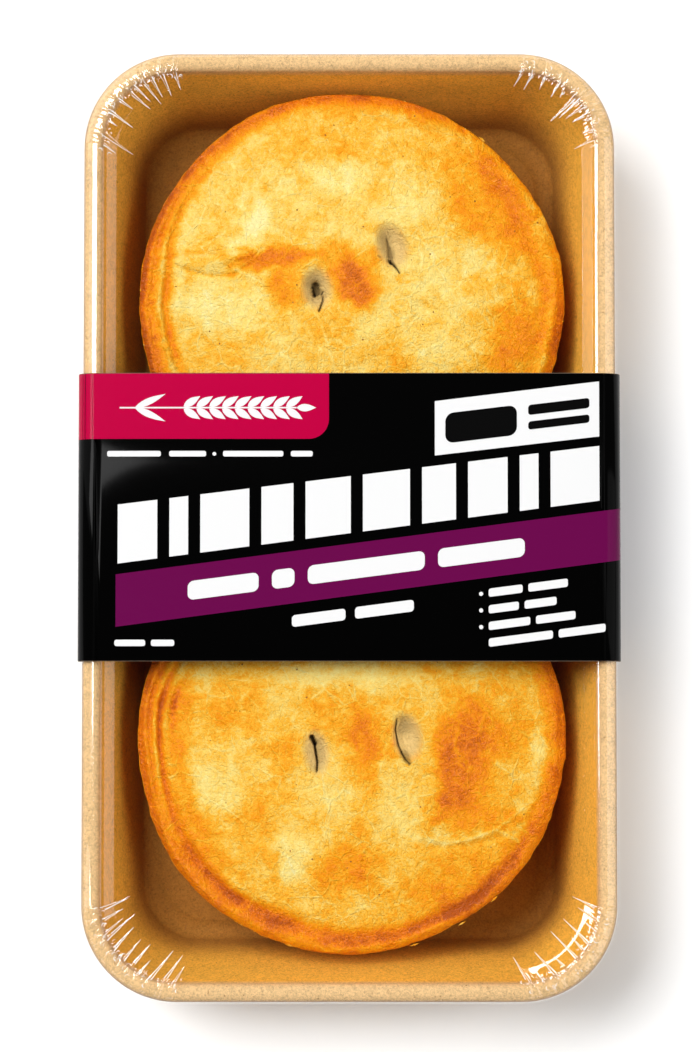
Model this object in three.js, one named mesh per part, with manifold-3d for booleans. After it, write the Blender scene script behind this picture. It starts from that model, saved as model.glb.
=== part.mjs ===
// A sealed twin pack of round savoury pies. A moulded kraft board tray holds two shut pies, a clear
// shrink film closes the tray, and a printed board sleeve goes round its middle.
// Millimetres. +Z is up and +Y points to the far end of the pack. The origin is the middle of the
// pack's footprint, on the surface that it stands on.

import * as THREE from "three";
import { mergeVertices } from "three/addons/utils/BufferGeometryUtils.js";
import Module from "manifold-3d";

const wasm = await Module();
wasm.setup();

// Driving dimensions of the pack
const GAP = 0.3; // left between pieces that touch
const BOARD = 0.8; // moulded tray wall
const FILM = 0.3;
const CARD = 0.5; // sleeve board

const TRAY_WIDTH = 142;
const TRAY_LENGTH = 253;
const TRAY_CORNER = 25.5; // outline radius at the rim's outer edge
const TRAY_DEPTH = 37; // rim top down to the floor inside
const RIM_WIDTH = 4.9;
const RIM_RISE = 2.2; // height of the rolled rim's arch
const LIP_DROP = 2.5; // how far the rim's outer edge hangs below the arch
const WALL_SLOPE = Math.tan(THREE.MathUtils.degToRad(16));
const CORNER_TAPER = 0.5; // how fast a corner's radius falls down the wall
const FLOOR_FILLET = 3;
const FLOOR_STEP = 0.5; // the floor's raised panel
const FLOOR_STEP_INSET = 3;

const SLEEVE_LENGTH = 76.6;
const SLEEVE_MIDDLE_Y = 1.8;
const SLEEVE_BASE_HALF = 57.5;
const SLEEVE_TOP_RADIUS = 4.5;
const SLEEVE_SIDE_RADIUS = 8;
const SLEEVE_BASE_RADIUS = 2.5;
const SLEEVE_STANDOFF = 0.9; // the stiff board stands off the film at the top
const CROWN_RISE = 0.6; // how far the top bows up between its shoulders
const CROWN_POWER = 8; // higher keeps the top flatter and the shoulders rounder

const PIE_RADIUS = 57.4;
const PIE_HEIGHT = 31.5;
const PIE_EDGE_HEIGHT = 26.5; // top of the lid's edge, without the crimped ridge
const PIE_BASE_RADIUS = 44;
const PIE_GAP = 2.5; // between the two pies
const PIE_PAIR = { x: 0.35, y: 1.45 }; // the pair lies a little off the tray's middle
const LID_DROP = 3.2; // thickness of the lid's edge, down to the case wall
const LID_OVERHANG = 1.3;
const LID_EDGE_ROUND = 1.4;
const BASE_ROUND = 3;
const DOME_POWER = 2.4; // how flat the lid's dome is, and how steeply it falls at the edge
const CRIMP = { share: 0.948, height: 1.3, width: 1.5 }; // share is of the pie's radius
const GROOVE = { share: 0.88, depth: 0.9, width: 1.7 };
const WAVE = { height: 0.3, lengthX: 9, lengthY: 11, lengthDiagonal: 6.5 };
const EDGE_UNEVEN = { broad: 0.35, fine: 0.2 }; // how far the outline strays from a circle

// Heights that follow
const FLOOR_UNDER = CARD + GAP;
const FLOOR_TOP = FLOOR_UNDER + BOARD;
const RIM_TOP = FLOOR_TOP + TRAY_DEPTH;
const ARCH_BASE = RIM_TOP - RIM_RISE;
const LIP_BOTTOM = ARCH_BASE - LIP_DROP;
const FILM_UNDER = RIM_TOP + GAP;
const SLEEVE_UNDER = FILM_UNDER + FILM + GAP + SLEEVE_STANDOFF;
const PIE_BASE = FLOOR_TOP + FLOOR_STEP + GAP;

// Mesh resolution
const CORNER_STEPS = 8;
const ARC_STEPS = 5;
const CROWN_STEPS = 16;
const PIE_SECTORS = 72;
const EDGE_RINGS = [0.994, 0.975, 0.948, 0.92, 0.9, 0.88, 0.85]; // shares of the pie's radius
const INNER_RINGS = 14; // evenly from the last of those to the middle

// What sets the two pies apart: places are millimetres from a pie's middle, x right and y far.
const FAR_PIE = {
  radius: PIE_RADIUS,
  wavePhase: 0.4,
  edgePhase: 1.5,
  vents: [
    { x: 11.2, y: 15.2, lean: 0.31, halfWidth: 4.6, halfLength: 7 },
    { x: -9, y: 3.4, lean: 0.12, halfWidth: 4.4, halfLength: 6.2 },
  ],
  creases: [{ from: [-58, 10.5], to: [-14, 11.5], height: 0.9, width: 3.2 }],
  dents: [{ x: -54.5, y: 10.5, depth: 1.2, width: 3.2 }],
};
const NEAR_PIE = {
  radius: PIE_RADIUS,
  wavePhase: 2.1,
  edgePhase: 1.9,
  vents: [
    { x: -9.2, y: -4, lean: 0.15, halfWidth: 3.6, halfLength: 6.6 },
    { x: 15.4, y: 0.3, lean: 0.16, halfWidth: 4.2, halfLength: 7 },
  ],
  creases: [{ from: [22, -27], to: [50, -17], height: 0.7, width: 3 }],
  dents: [{ x: -52, y: -14, depth: 0.9, width: 3 }],
};
const VENT_DEPTH = 2.3;
const SLIT_HALF_WIDTH = 0.6;
const SLIT_SHARE = 0.62; // slit length as a share of its dimple
const SLIT_DEPTH = 3;

// A closed solid through a stack of rings that all have the same number of points. The first and
// last rings are shut by fans. Rings turn anticlockwise seen from above.
function solidThroughRings(rings) {
  const count = rings[0].length;
  const middleOf = (ring) =>
    ring.reduce((sum, p) => sum.add(p), new THREE.Vector3()).divideScalar(count);
  const points = [middleOf(rings[0]), ...rings.flat(), middleOf(rings.at(-1))];
  const last = points.length - 1;
  const index = [];
  const at = (ring, i) => 1 + ring * count + (i % count);
  for (let i = 0; i < count; i++) {
    index.push(0, at(0, i + 1), at(0, i));
    for (let ring = 0; ring + 1 < rings.length; ring++) {
      const [a, b] = [at(ring, i), at(ring, i + 1)];
      const [c, d] = [at(ring + 1, i + 1), at(ring + 1, i)];
      index.push(a, b, c, a, c, d);
    }
    index.push(last, at(rings.length - 1, i), at(rings.length - 1, i + 1));
  }
  const geometry = new THREE.BufferGeometry().setFromPoints(points);
  geometry.setIndex(index);
  return geometry;
}

// The tray's outline moved inwards by inset (outwards if negative), at height z.
function trayRing(inset, z) {
  const wallInset = Math.max(0, inset - RIM_WIDTH);
  const rimInset = inset - wallInset;
  const radius = TRAY_CORNER - rimInset - CORNER_TAPER * wallInset;
  const halfX = TRAY_WIDTH / 2 - inset;
  const halfY = TRAY_LENGTH / 2 - inset;
  const ring = [];
  for (const [quarter, [sideX, sideY]] of [[1, 1], [-1, 1], [-1, -1], [1, -1]].entries()) {
    for (let step = 0; step <= CORNER_STEPS; step++) {
      const angle = ((quarter + step / CORNER_STEPS) * Math.PI) / 2;
      ring.push(
        new THREE.Vector3(
          sideX * (halfX - radius) + radius * Math.cos(angle),
          sideY * (halfY - radius) + radius * Math.sin(angle),
          z,
        ),
      );
    }
  }
  return ring;
}

// Points of an ellipse's arc in the section plane, as [inset, z]. Angle 0 points outwards.
function sectionArc(inset, z, halfWidth, halfHeight, from, to, steps) {
  return Array.from({ length: steps + 1 }, (_, i) => {
    const angle = THREE.MathUtils.degToRad(from + ((to - from) * i) / steps);
    return [inset - halfWidth * Math.cos(angle), z + halfHeight * Math.sin(angle)];
  });
}

// The foot of a wall: from the floor, round a fillet, to where the straight wall starts. side is 0
// for the wall's inner face and 1 for its outer face.
function wallFoot(side) {
  const slopeAngle = THREE.MathUtils.radToDeg(Math.atan(WALL_SLOPE));
  const radius = FLOOR_FILLET + side * BOARD;
  const floor = FLOOR_TOP - side * BOARD;
  const lean = Math.hypot(1, WALL_SLOPE);
  const middleZ = FLOOR_TOP + FLOOR_FILLET;
  const middleInset = RIM_WIDTH + WALL_SLOPE * (ARCH_BASE - middleZ) + FLOOR_FILLET * lean;
  return sectionArc(middleInset, floor + radius, radius, radius, -90, -slopeAngle, ARC_STEPS);
}

function trayGeometry() {
  const half = RIM_WIDTH / 2;
  const section = [
    ...wallFoot(1),
    ...sectionArc(half, ARCH_BASE, half - BOARD, RIM_RISE - BOARD, 180, 0, ARC_STEPS),
    [BOARD, LIP_BOTTOM],
    [0, LIP_BOTTOM],
    ...sectionArc(half, ARCH_BASE, half, RIM_RISE, 0, 180, ARC_STEPS + 1),
    ...wallFoot(0).reverse(),
  ];
  const floorInset = section.at(-1)[0];
  section.push([floorInset + FLOOR_STEP_INSET, FLOOR_TOP]);
  section.push([floorInset + FLOOR_STEP_INSET + FLOOR_STEP, FLOOR_TOP + FLOOR_STEP]);
  return solidThroughRings(section.map(([inset, z]) => trayRing(inset, z)));
}

// The film is a tight cap: a flat sheet that rounds the rolled rim and hangs down its outer side.
function filmGeometry() {
  const half = RIM_WIDTH / 2;
  const faceAt = (out) =>
    sectionArc(half, ARCH_BASE, half + out, RIM_RISE + out, 90, 0, ARC_STEPS);
  const inside = [...faceAt(GAP), [-GAP, LIP_BOTTOM]];
  const outside = [...faceAt(GAP + FILM), [-GAP - FILM, LIP_BOTTOM]].reverse();
  return solidThroughRings([...inside, ...outside].map(([inset, z]) => trayRing(inset, z)));
}

// A closed outline with each corner [x, y, radius] rounded by an arc.
function roundedOutline(corners) {
  const outline = [];
  corners.forEach(([x, y, radius], i) => {
    const corner = new THREE.Vector2(x, y);
    const [before, after] = [corners.at(i - 1), corners[(i + 1) % corners.length]].map(
      ([nx, ny]) => new THREE.Vector2(nx, ny).sub(corner).normalize(),
    );
    const halfAngle = Math.acos(before.dot(after)) / 2;
    const middle = before.clone().add(after).setLength(radius / Math.sin(halfAngle)).add(corner);
    const reach = radius / Math.tan(halfAngle);
    const start = before.clone().multiplyScalar(reach).add(corner).sub(middle);
    const turn = Math.PI - 2 * halfAngle;
    const way = Math.sign(before.cross(after)) || 1;
    for (let step = 0; step <= ARC_STEPS; step++) {
      const spoke = start.clone().rotateAround(new THREE.Vector2(), (-way * turn * step) / ARC_STEPS);
      outline.push(spoke.add(middle));
    }
  });
  return outline;
}

// One face of the sleeve's band, out millimetres outside its inner face, in the X-Z plane.
function sleeveOutline(out) {
  const side = TRAY_WIDTH / 2 + GAP + FILM + GAP + out;
  const topRadius = SLEEVE_TOP_RADIUS + out;
  const sideRadius = SLEEVE_SIDE_RADIUS + out;
  const baseRadius = SLEEVE_BASE_RADIUS + out;
  const rightSide = [
    [SLEEVE_BASE_HALF + out, CARD - out, baseRadius],
    [side, LIP_BOTTOM - GAP, sideRadius],
    [side, SLEEVE_UNDER + out, topRadius],
  ];
  const leftSide = rightSide.map(([x, z, radius]) => [-x, z, radius]).reverse();
  const outline = roundedOutline([...rightSide, ...leftSide]);
  const crown = [];
  for (let step = 1; step < CROWN_STEPS; step++) {
    const share = 1 - (2 * step) / CROWN_STEPS; // from 1 at the right shoulder to -1 at the left
    const rise = CROWN_RISE * (1 - Math.abs(share) ** CROWN_POWER);
    crown.push(new THREE.Vector2(share * (side - topRadius), SLEEVE_UNDER + out + rise));
  }
  outline.splice(rightSide.length * (ARC_STEPS + 1), 0, ...crown);
  return outline;
}

function sleeveGeometry() {
  const band = new THREE.Shape(sleeveOutline(CARD));
  band.holes.push(new THREE.Path(sleeveOutline(0)));
  const geometry = new THREE.ExtrudeGeometry(band, { depth: SLEEVE_LENGTH, bevelEnabled: false });
  geometry.rotateX(Math.PI / 2);
  geometry.translate(0, SLEEVE_MIDDLE_Y + SLEEVE_LENGTH / 2, 0);
  return geometry;
}

const bump = (distance, width) => Math.exp(-((distance / width) ** 2));

function distanceToLine(x, y, [fromX, fromY], [toX, toY]) {
  const [alongX, alongY] = [toX - fromX, toY - fromY];
  const share = ((x - fromX) * alongX + (y - fromY) * alongY) / (alongX ** 2 + alongY ** 2);
  const held = THREE.MathUtils.clamp(share, 0, 1);
  return Math.hypot(x - fromX - held * alongX, y - fromY - held * alongY);
}

// Height of a pie's lid above its base: a low dome inside a crimped ridge, with the slow waves of
// baked pastry, a dimple at each vent, and the folds and dents of the crust.
function lidHeight(pie, x, y) {
  const radius = Math.hypot(x, y);
  const reach = Math.min(1, radius / pie.radius);
  const crimp = CRIMP.height * bump(radius - CRIMP.share * pie.radius, CRIMP.width);
  const groove = GROOVE.depth * bump(radius - GROOVE.share * pie.radius, GROOVE.width);
  const waves =
    Math.sin(x / WAVE.lengthX + pie.wavePhase) * Math.sin(y / WAVE.lengthY - pie.wavePhase) +
    0.5 * Math.sin((x + y) / WAVE.lengthDiagonal + 2 * pie.wavePhase);
  let height = PIE_EDGE_HEIGHT + (PIE_HEIGHT - PIE_EDGE_HEIGHT) * (1 - reach ** DOME_POWER);
  height += crimp - groove + WAVE.height * waves * (1 - reach ** 4);
  for (const vent of pie.vents) {
    const [across, along] = alongVent(vent, x, y);
    height -= VENT_DEPTH * bump(Math.hypot(across / vent.halfWidth, along / vent.halfLength), 0.8);
  }
  for (const crease of pie.creases)
    height += crease.height * bump(distanceToLine(x, y, crease.from, crease.to), crease.width);
  for (const dent of pie.dents)
    height -= dent.depth * bump(Math.hypot(x - dent.x, y - dent.y), dent.width);
  return height;
}

// A point seen from a vent: how far across its slit, and how far along.
function alongVent({ x: ventX, y: ventY, lean }, x, y) {
  const [dx, dy] = [x - ventX, y - ventY];
  return [dx * Math.cos(lean) + dy * Math.sin(lean), dy * Math.cos(lean) - dx * Math.sin(lean)];
}

// The pie's outline isn't quite round, as crimped by hand.
function pieRing(pie, radius, height) {
  return Array.from({ length: PIE_SECTORS }, (_, i) => {
    const angle = (i / PIE_SECTORS) * 2 * Math.PI;
    const uneven =
      EDGE_UNEVEN.broad * Math.sin(3 * angle + pie.edgePhase) + EDGE_UNEVEN.fine * Math.sin(7 * angle);
    const reach = radius + uneven * (radius / pie.radius) ** 3;
    const [x, y] = [reach * Math.cos(angle), reach * Math.sin(angle)];
    return new THREE.Vector3(x, y, height ?? lidHeight(pie, x, y));
  });
}

function pieGeometry(pie) {
  const edge = pie.radius;
  const caseTop = edge - LID_OVERHANG;
  const caseTopHeight = PIE_EDGE_HEIGHT - LID_DROP;
  const wallSlope = (caseTop - PIE_BASE_RADIUS) / caseTopHeight;
  const under = [
    [PIE_BASE_RADIUS - BASE_ROUND, 0],
    [PIE_BASE_RADIUS - 0.3 * BASE_ROUND, 0.25 * BASE_ROUND],
    [PIE_BASE_RADIUS + BASE_ROUND * wallSlope, BASE_ROUND],
    [PIE_BASE_RADIUS + 0.5 * caseTopHeight * wallSlope, 0.5 * caseTopHeight],
    [caseTop, caseTopHeight],
    [edge - 0.2 * LID_EDGE_ROUND, caseTopHeight + 0.4 * LID_EDGE_ROUND],
    [edge, PIE_EDGE_HEIGHT - LID_EDGE_ROUND],
  ];
  const innermost = EDGE_RINGS.at(-1);
  const lidShares = [...EDGE_RINGS];
  for (let ring = 1; ring <= INNER_RINGS; ring++)
    lidShares.push(innermost * (1 - ring / (INNER_RINGS + 1)));
  return solidThroughRings([
    ...under.map(([radius, height]) => pieRing(pie, radius, height)),
    ...lidShares.map((share) => pieRing(pie, share * edge)),
  ]);
}

// A pointed, upright slot for one vent, to be cut from the lid.
function slitGeometry(pie, vent) {
  const halfLength = SLIT_SHARE * vent.halfLength;
  const lens = new THREE.Shape();
  lens.moveTo(0, -halfLength);
  lens.quadraticCurveTo(2 * SLIT_HALF_WIDTH, 0, 0, halfLength);
  lens.quadraticCurveTo(-2 * SLIT_HALF_WIDTH, 0, 0, -halfLength);
  const bottom = lidHeight(pie, vent.x, vent.y) - SLIT_DEPTH;
  const slit = new THREE.ExtrudeGeometry(lens, {
    depth: 3 * SLIT_DEPTH,
    bevelEnabled: false,
    curveSegments: ARC_STEPS,
  });
  slit.rotateZ(vent.lean);
  slit.translate(vent.x, vent.y, bottom);
  return slit;
}

function toManifold(geometry) {
  const bare = new THREE.BufferGeometry();
  bare.setAttribute("position", geometry.getAttribute("position"));
  bare.setIndex(geometry.index);
  const merged = mergeVertices(bare, 1e-4);
  return new wasm.Manifold(
    new wasm.Mesh({
      numProp: 3,
      vertProperties: merged.attributes.position.array,
      triVerts: new Uint32Array(merged.index.array),
    }),
  );
}

function toGeometry(manifold) {
  const mesh = manifold.getMesh();
  const geometry = new THREE.BufferGeometry();
  geometry.setAttribute("position", new THREE.BufferAttribute(mesh.vertProperties, 3));
  geometry.setIndex(new THREE.BufferAttribute(mesh.triVerts, 1));
  return geometry;
}

function ventedPie(pie) {
  return toGeometry(
    pie.vents.reduce(
      (solid, vent) => solid.subtract(toManifold(slitGeometry(pie, vent))),
      toManifold(pieGeometry(pie)),
    ),
  );
}

const materials = {
  kraft: new THREE.MeshStandardMaterial({ color: 0xc98a3f, roughness: 0.8, metalness: 0 }),
  crust: new THREE.MeshStandardMaterial({ color: 0xe9a53a, roughness: 0.55, metalness: 0 }),
  film: new THREE.MeshStandardMaterial({
    color: 0xf4f4f0,
    roughness: 0.05,
    metalness: 0,
    transparent: true,
    opacity: 0.2,
  }),
  card: new THREE.MeshStandardMaterial({ color: 0x0a0a0b, roughness: 0.4, metalness: 0 }),
};

function addMesh(group, name, geometry, material) {
  geometry.computeVertexNormals();
  const mesh = new THREE.Mesh(geometry, material);
  mesh.name = name;
  group.add(mesh);
  return mesh;
}

const pack = new THREE.Group();
const pieStep = PIE_RADIUS + PIE_GAP / 2;
addMesh(pack, "tray", trayGeometry(), materials.kraft);
for (const [name, pie, side] of [["pie_far", FAR_PIE, 1], ["pie_near", NEAR_PIE, -1]]) {
  const mesh = addMesh(pack, name, ventedPie(pie), materials.crust);
  mesh.position.set(PIE_PAIR.x, PIE_PAIR.y + side * pieStep, PIE_BASE);
}
addMesh(pack, "film", filmGeometry(), materials.film);
addMesh(pack, "sleeve", sleeveGeometry(), materials.card);

export default pack;
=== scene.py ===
"""A sealed twin pack of round savoury pies: a moulded kraft board tray with two baked pies, clear
shrink film over the tray, and a printed board sleeve round its middle.

Lengths are millimetres until a mesh is made. Places are in the pack's frame: +Z is up and +Y
points to the far end of the tray."""

import math

import bpy
import numpy as np
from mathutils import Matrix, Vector


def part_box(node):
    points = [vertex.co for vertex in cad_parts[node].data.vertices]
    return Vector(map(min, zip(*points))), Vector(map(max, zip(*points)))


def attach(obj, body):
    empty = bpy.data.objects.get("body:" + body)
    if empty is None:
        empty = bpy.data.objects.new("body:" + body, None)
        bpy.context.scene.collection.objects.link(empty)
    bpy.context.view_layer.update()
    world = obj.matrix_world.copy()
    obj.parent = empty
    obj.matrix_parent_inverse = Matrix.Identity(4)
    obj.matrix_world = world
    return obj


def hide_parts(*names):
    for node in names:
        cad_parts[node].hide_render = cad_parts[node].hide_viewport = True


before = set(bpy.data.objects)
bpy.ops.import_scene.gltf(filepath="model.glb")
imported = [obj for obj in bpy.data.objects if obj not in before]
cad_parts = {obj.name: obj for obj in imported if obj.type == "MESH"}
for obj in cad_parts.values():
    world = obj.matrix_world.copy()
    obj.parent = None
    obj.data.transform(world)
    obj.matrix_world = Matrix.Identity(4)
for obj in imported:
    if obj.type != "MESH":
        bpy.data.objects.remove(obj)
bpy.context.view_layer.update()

MM = 0.001


def box_mm(node):
    low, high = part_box(node)
    return np.array(low) / MM, np.array(high) / MM


TRAY_LOW, TRAY_HIGH = box_mm("tray")
SLEEVE_LOW, SLEEVE_HIGH = box_mm("sleeve")

# Tray
TRAY_WIDTH, TRAY_LENGTH = (TRAY_HIGH - TRAY_LOW)[:2]
TRAY_CORNER = 25.5
CORNERS = [(1, 1), (-1, 1), (-1, -1), (1, -1)]  # each corner's side in x and y, anticlockwise
CORNER_ARC = TRAY_CORNER * math.pi / 2
RIM_WIDTH = 4.9
RIM_RISE = 2.2
LIP_DROP = 2.5
BOARD = 0.8
WALL_SLOPE = math.tan(math.radians(16))
WALL_WAVE, WALL_WAVE_SIZE = 0.12, 14
CORNER_TAPER = 0.5
SHARPEST_CORNER = 0.5
FLOOR_FILLET = 3
FLOOR_STEP = 0.5
FLOOR_STEP_INSET = 3
FLOOR_STEP_ROUND = (0.9, 0.25)  # the width and height of the curve up to the step
FLOOR_STEP_ENDS = (1.2, 4)  # further rings of the raised middle, as far in from the step
FLOOR_TOP = TRAY_LOW[2] + BOARD
RIM_TOP = TRAY_HIGH[2]
ARCH_BASE = RIM_TOP - RIM_RISE
LIP_BOTTOM = ARCH_BASE - LIP_DROP
TRAY_STEPS = (40, 24)  # steps along each corner and along each side

# Sleeve
CARD = 0.5
SLEEVE_Y = (SLEEVE_LOW[1] + SLEEVE_HIGH[1]) / 2
SLEEVE_LENGTH = SLEEVE_HIGH[1] - SLEEVE_LOW[1]
SLEEVE_BASE_HALF = 58
SLEEVE_TOP_RADIUS = 5
SLEEVE_SIDE_RADIUS = 8.5
SLEEVE_BASE_RADIUS = 3
CROWN_RISE = 0.6
CROWN_POWER = 8
CARD_INSET = 0.1  # the card's printed face lies this far inside the solid's, to leave room for ink
CARD_SOFTNESS = 0.12  # how far the card's cut edge is rounded
INK = 0.03

# Pies
PIE_RADIUS = 57.4
PIE_HEIGHT = 31.5
PIE_EDGE_HEIGHT = 26.5
PIE_BASE_RADIUS = 44
LID_DROP = 3.2
LID_OVERHANG = 1.3
LID_EDGE_FALL = 1.1
BASE_ROUND = 3
DOME_POWER = 2.4
WAVE_HEIGHT = 0.3
WAVE_X, WAVE_Y, WAVE_DIAGONAL = 9, 11, 6.5
LUMP_HEIGHT, LUMP_SIZE = 0.22, 9
GRIT_HEIGHT, GRIT_SIZE = 0.10, 2.6
WRINKLE_HEIGHT, WRINKLE_SIZE, WRINKLE_TONE = 0.08, 5.5, 0.03
RIDGE_LUMPS, RIDGE_LUMP_SIZE = 0.45, 3.2
RIM_STRAYS = [(0.8, 20), (0.45, 6)]  # how far the rim's ridges wander, and over what length
EDGE_WAVES = [(0.35, 3), (0.2, 7)]  # how far the outline strays from a circle, and in how many waves
EDGE_GRIT, EDGE_GRIT_SIZE = 0.12, 1.1
PATCH_STRAY, PATCH_STRAY_SIZE = 2.2, 7
RAGGEDNESS, RAGGED_SIZE = 0.8, 1.8
TONE_CLOUDS, CLOUD_SIZE = 0.07, 9
TONE_FLECKS, FLECK_SIZE = 0.06, 2.2
LID_EDGE = (0.86, 0.97)  # from where to where the lid browns towards its edge, as shares
# Where the lid darkens at its outermost edge: partly baking, partly painted shade where the edge
# curves down
LID_RIM = (0.94, 0.98)
LID_CELLS = 256
LID_SPAN = 0.996  # the lid's own mesh ends at this share of its radius
CASE_SHARES = (0.85, 0.7, 0.55, 0.4, 0.25)  # the heights of the case's rings
CASE_ROUGHNESS, CASE_TONE, CASE_STRAY = 0.15, 0.62, 0.1
PULL, PULL_WIDTH, PULL_LENGTH = 0.62, 4.0, 7.0  # how the mesh is drawn in to a vent's slit
CRUMBS = 90
CRUMB_SIZES = (0.16, 0.42)

NOISE_CELLS = 64


def bump(distance, width):
    return np.exp(-((distance / width) ** 2))


def ramp(value, low, high):
    """0 at low, 1 at high, smooth between."""
    share = np.clip((value - low) / (high - low), 0, 1)
    return share * share * (3 - 2 * share)


def turned(x, y, turn):
    """Places seen from axes turned by so many radians: how far across and how far along."""
    across = x * math.cos(turn) + y * math.sin(turn)
    along = y * math.cos(turn) - x * math.sin(turn)
    return across, along


def smooth_noise(x, y, size, seed):
    """Slow random waves from -1 to 1, with bumps about size wide."""
    table = np.random.default_rng(seed).uniform(-1, 1, (NOISE_CELLS, NOISE_CELLS))
    across, along = (place / size for place in turned(x, y, -2.4 * seed))
    cell_x, cell_y = np.floor(across).astype(int), np.floor(along).astype(int)
    blend_x, blend_y = ramp(across - cell_x, 0, 1), ramp(along - cell_y, 0, 1)

    def corner(step_x, step_y):
        return table[(cell_x + step_x) % NOISE_CELLS, (cell_y + step_y) % NOISE_CELLS]

    near = corner(0, 0) * (1 - blend_x) + corner(1, 0) * blend_x
    far = corner(0, 1) * (1 - blend_x) + corner(1, 1) * blend_x
    return near * (1 - blend_y) + far * blend_y


def layered_noise(x, y, size, seed, layers=3):
    total = 0
    for layer in range(layers):
        total = total + smooth_noise(x, y, size / 2**layer, seed + layer) / 2**layer
    return total


def wrinkles(x, y, size, seed):
    """Thin raised lines, 1 on a line and 0 away from it, where slow noise crosses zero."""
    bent_x = x + 0.5 * size * smooth_noise(x, y, size, seed + 7)
    bent_y = y + 0.5 * size * smooth_noise(x, y, size, seed + 8)
    return np.clip(1 - 6 * np.abs(layered_noise(bent_x, bent_y, size, seed, 2)), 0, 1)


# Meshes


def add_object(name, data):
    made = bpy.data.objects.new(name, data)
    bpy.context.scene.collection.objects.link(made)
    return made


def make_piece(name, points, faces, materials, replaced=(), smooth=True):
    mesh = bpy.data.meshes.new(name)
    mesh.from_pydata((np.asarray(points) * MM).tolist(), [], faces)
    for material in materials:
        mesh.materials.append(material)
    if smooth:
        mesh.shade_smooth()
    piece = add_object(name, mesh)
    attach(piece, "root")
    if replaced:
        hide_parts(*replaced)
    return piece


def keep_values(piece, name, values):
    """Stores one number for each point of the mesh, for the material to read."""
    attribute = piece.data.attributes.new(name, "FLOAT", "POINT")
    attribute.data.foreach_set("value", np.asarray(values, np.float32))


def band(ring, other):
    """Quads between two closed rings of points."""
    return list(zip(ring, ring[1:] + ring[:1], other[1:] + other[:1], other))


def band_faces(rings, count):
    """Quads between each ring of points and the next."""
    faces = []
    for start in range(0, (rings - 1) * count, count):
        ring = list(range(start, start + count))
        faces += band(ring, [i + count for i in ring])
    return faces


def fan(ring_start, count, middle, flipped):
    faces = []
    for i in range(count):
        a, b = ring_start + i, ring_start + (i + 1) % count
        faces.append((middle, b, a) if flipped else (middle, a, b))
    return faces


def corner_place(corner, share, inset):
    """A place on a corner of the tray's outline moved inwards by inset, at a share of the corner's
    arc. Many shares give many places."""
    wall_inset = max(0, inset - RIM_WIDTH)
    rim_inset = inset - wall_inset
    radius = max(SHARPEST_CORNER, TRAY_CORNER - rim_inset - CORNER_TAPER * wall_inset)
    side_x, side_y = CORNERS[corner]
    angle = (corner + share) * math.pi / 2
    x = side_x * (TRAY_WIDTH / 2 - inset - radius) + radius * np.cos(angle)
    y = side_y * (TRAY_LENGTH / 2 - inset - radius) + radius * np.sin(angle)
    return np.stack([x, y], axis=-1)


def tray_outline(inset, corner_steps, side_steps):
    """The tray's outline moved inwards by inset, as x and y."""
    shares = np.linspace(0, 1, corner_steps + 1)
    arcs = [corner_place(corner, shares, inset) for corner in range(4)]
    share = np.linspace(0, 1, side_steps + 1)[1:-1, None]
    outline = []
    for arc, following in zip(arcs, arcs[1:] + arcs[:1]):
        outline += [arc, arc[-1] * (1 - share) + following[0] * share]
    return np.concatenate(outline)


def section_arc(inset, z, half_width, half_height, start, end, steps):
    """Points of an ellipse's arc as (inset, z). Angle 0 points outwards."""
    angle = np.radians(np.linspace(start, end, steps + 1))
    return list(zip(inset - half_width * np.cos(angle), z + half_height * np.sin(angle)))


def swept_rings(section, corner_steps, side_steps):
    rings = []
    for inset, z in section:
        outline = tray_outline(inset, corner_steps, side_steps)
        rings.append(np.column_stack([outline, np.full(len(outline), z)]))
    return np.array(rings)


# Materials


def rgba(colour):
    """A colour for a socket: a fixed one gets its fourth number, a node's stays as it is."""
    return colour if isinstance(colour, bpy.types.NodeSocket) else (*colour, 1)


class Nodes:
    """The nodes of a material or of the world, built by short calls."""

    def __init__(self, owner):
        owner.use_nodes = True
        self.tree = owner.node_tree
        self.tree.nodes.clear()

    def add(self, kind, inputs=None, **settings):
        node = self.tree.nodes.new(kind)
        for key, value in settings.items():
            setattr(node, key, value)
        for key, value in (inputs or {}).items():
            if isinstance(value, bpy.types.NodeSocket):
                self.tree.links.new(value, node.inputs[key])
            else:
                node.inputs[key].default_value = value
        return node

    def math(self, operation, *values):
        inputs = dict(enumerate(values))
        return self.add("ShaderNodeMath", inputs, operation=operation).outputs[0]

    def between(self, value, low, high, to_low=0.0, to_high=1.0):
        inputs = {"Value": value, "From Min": low, "From Max": high}
        inputs.update({"To Min": to_low, "To Max": to_high})
        return self.add("ShaderNodeMapRange", inputs).outputs["Result"]


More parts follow.
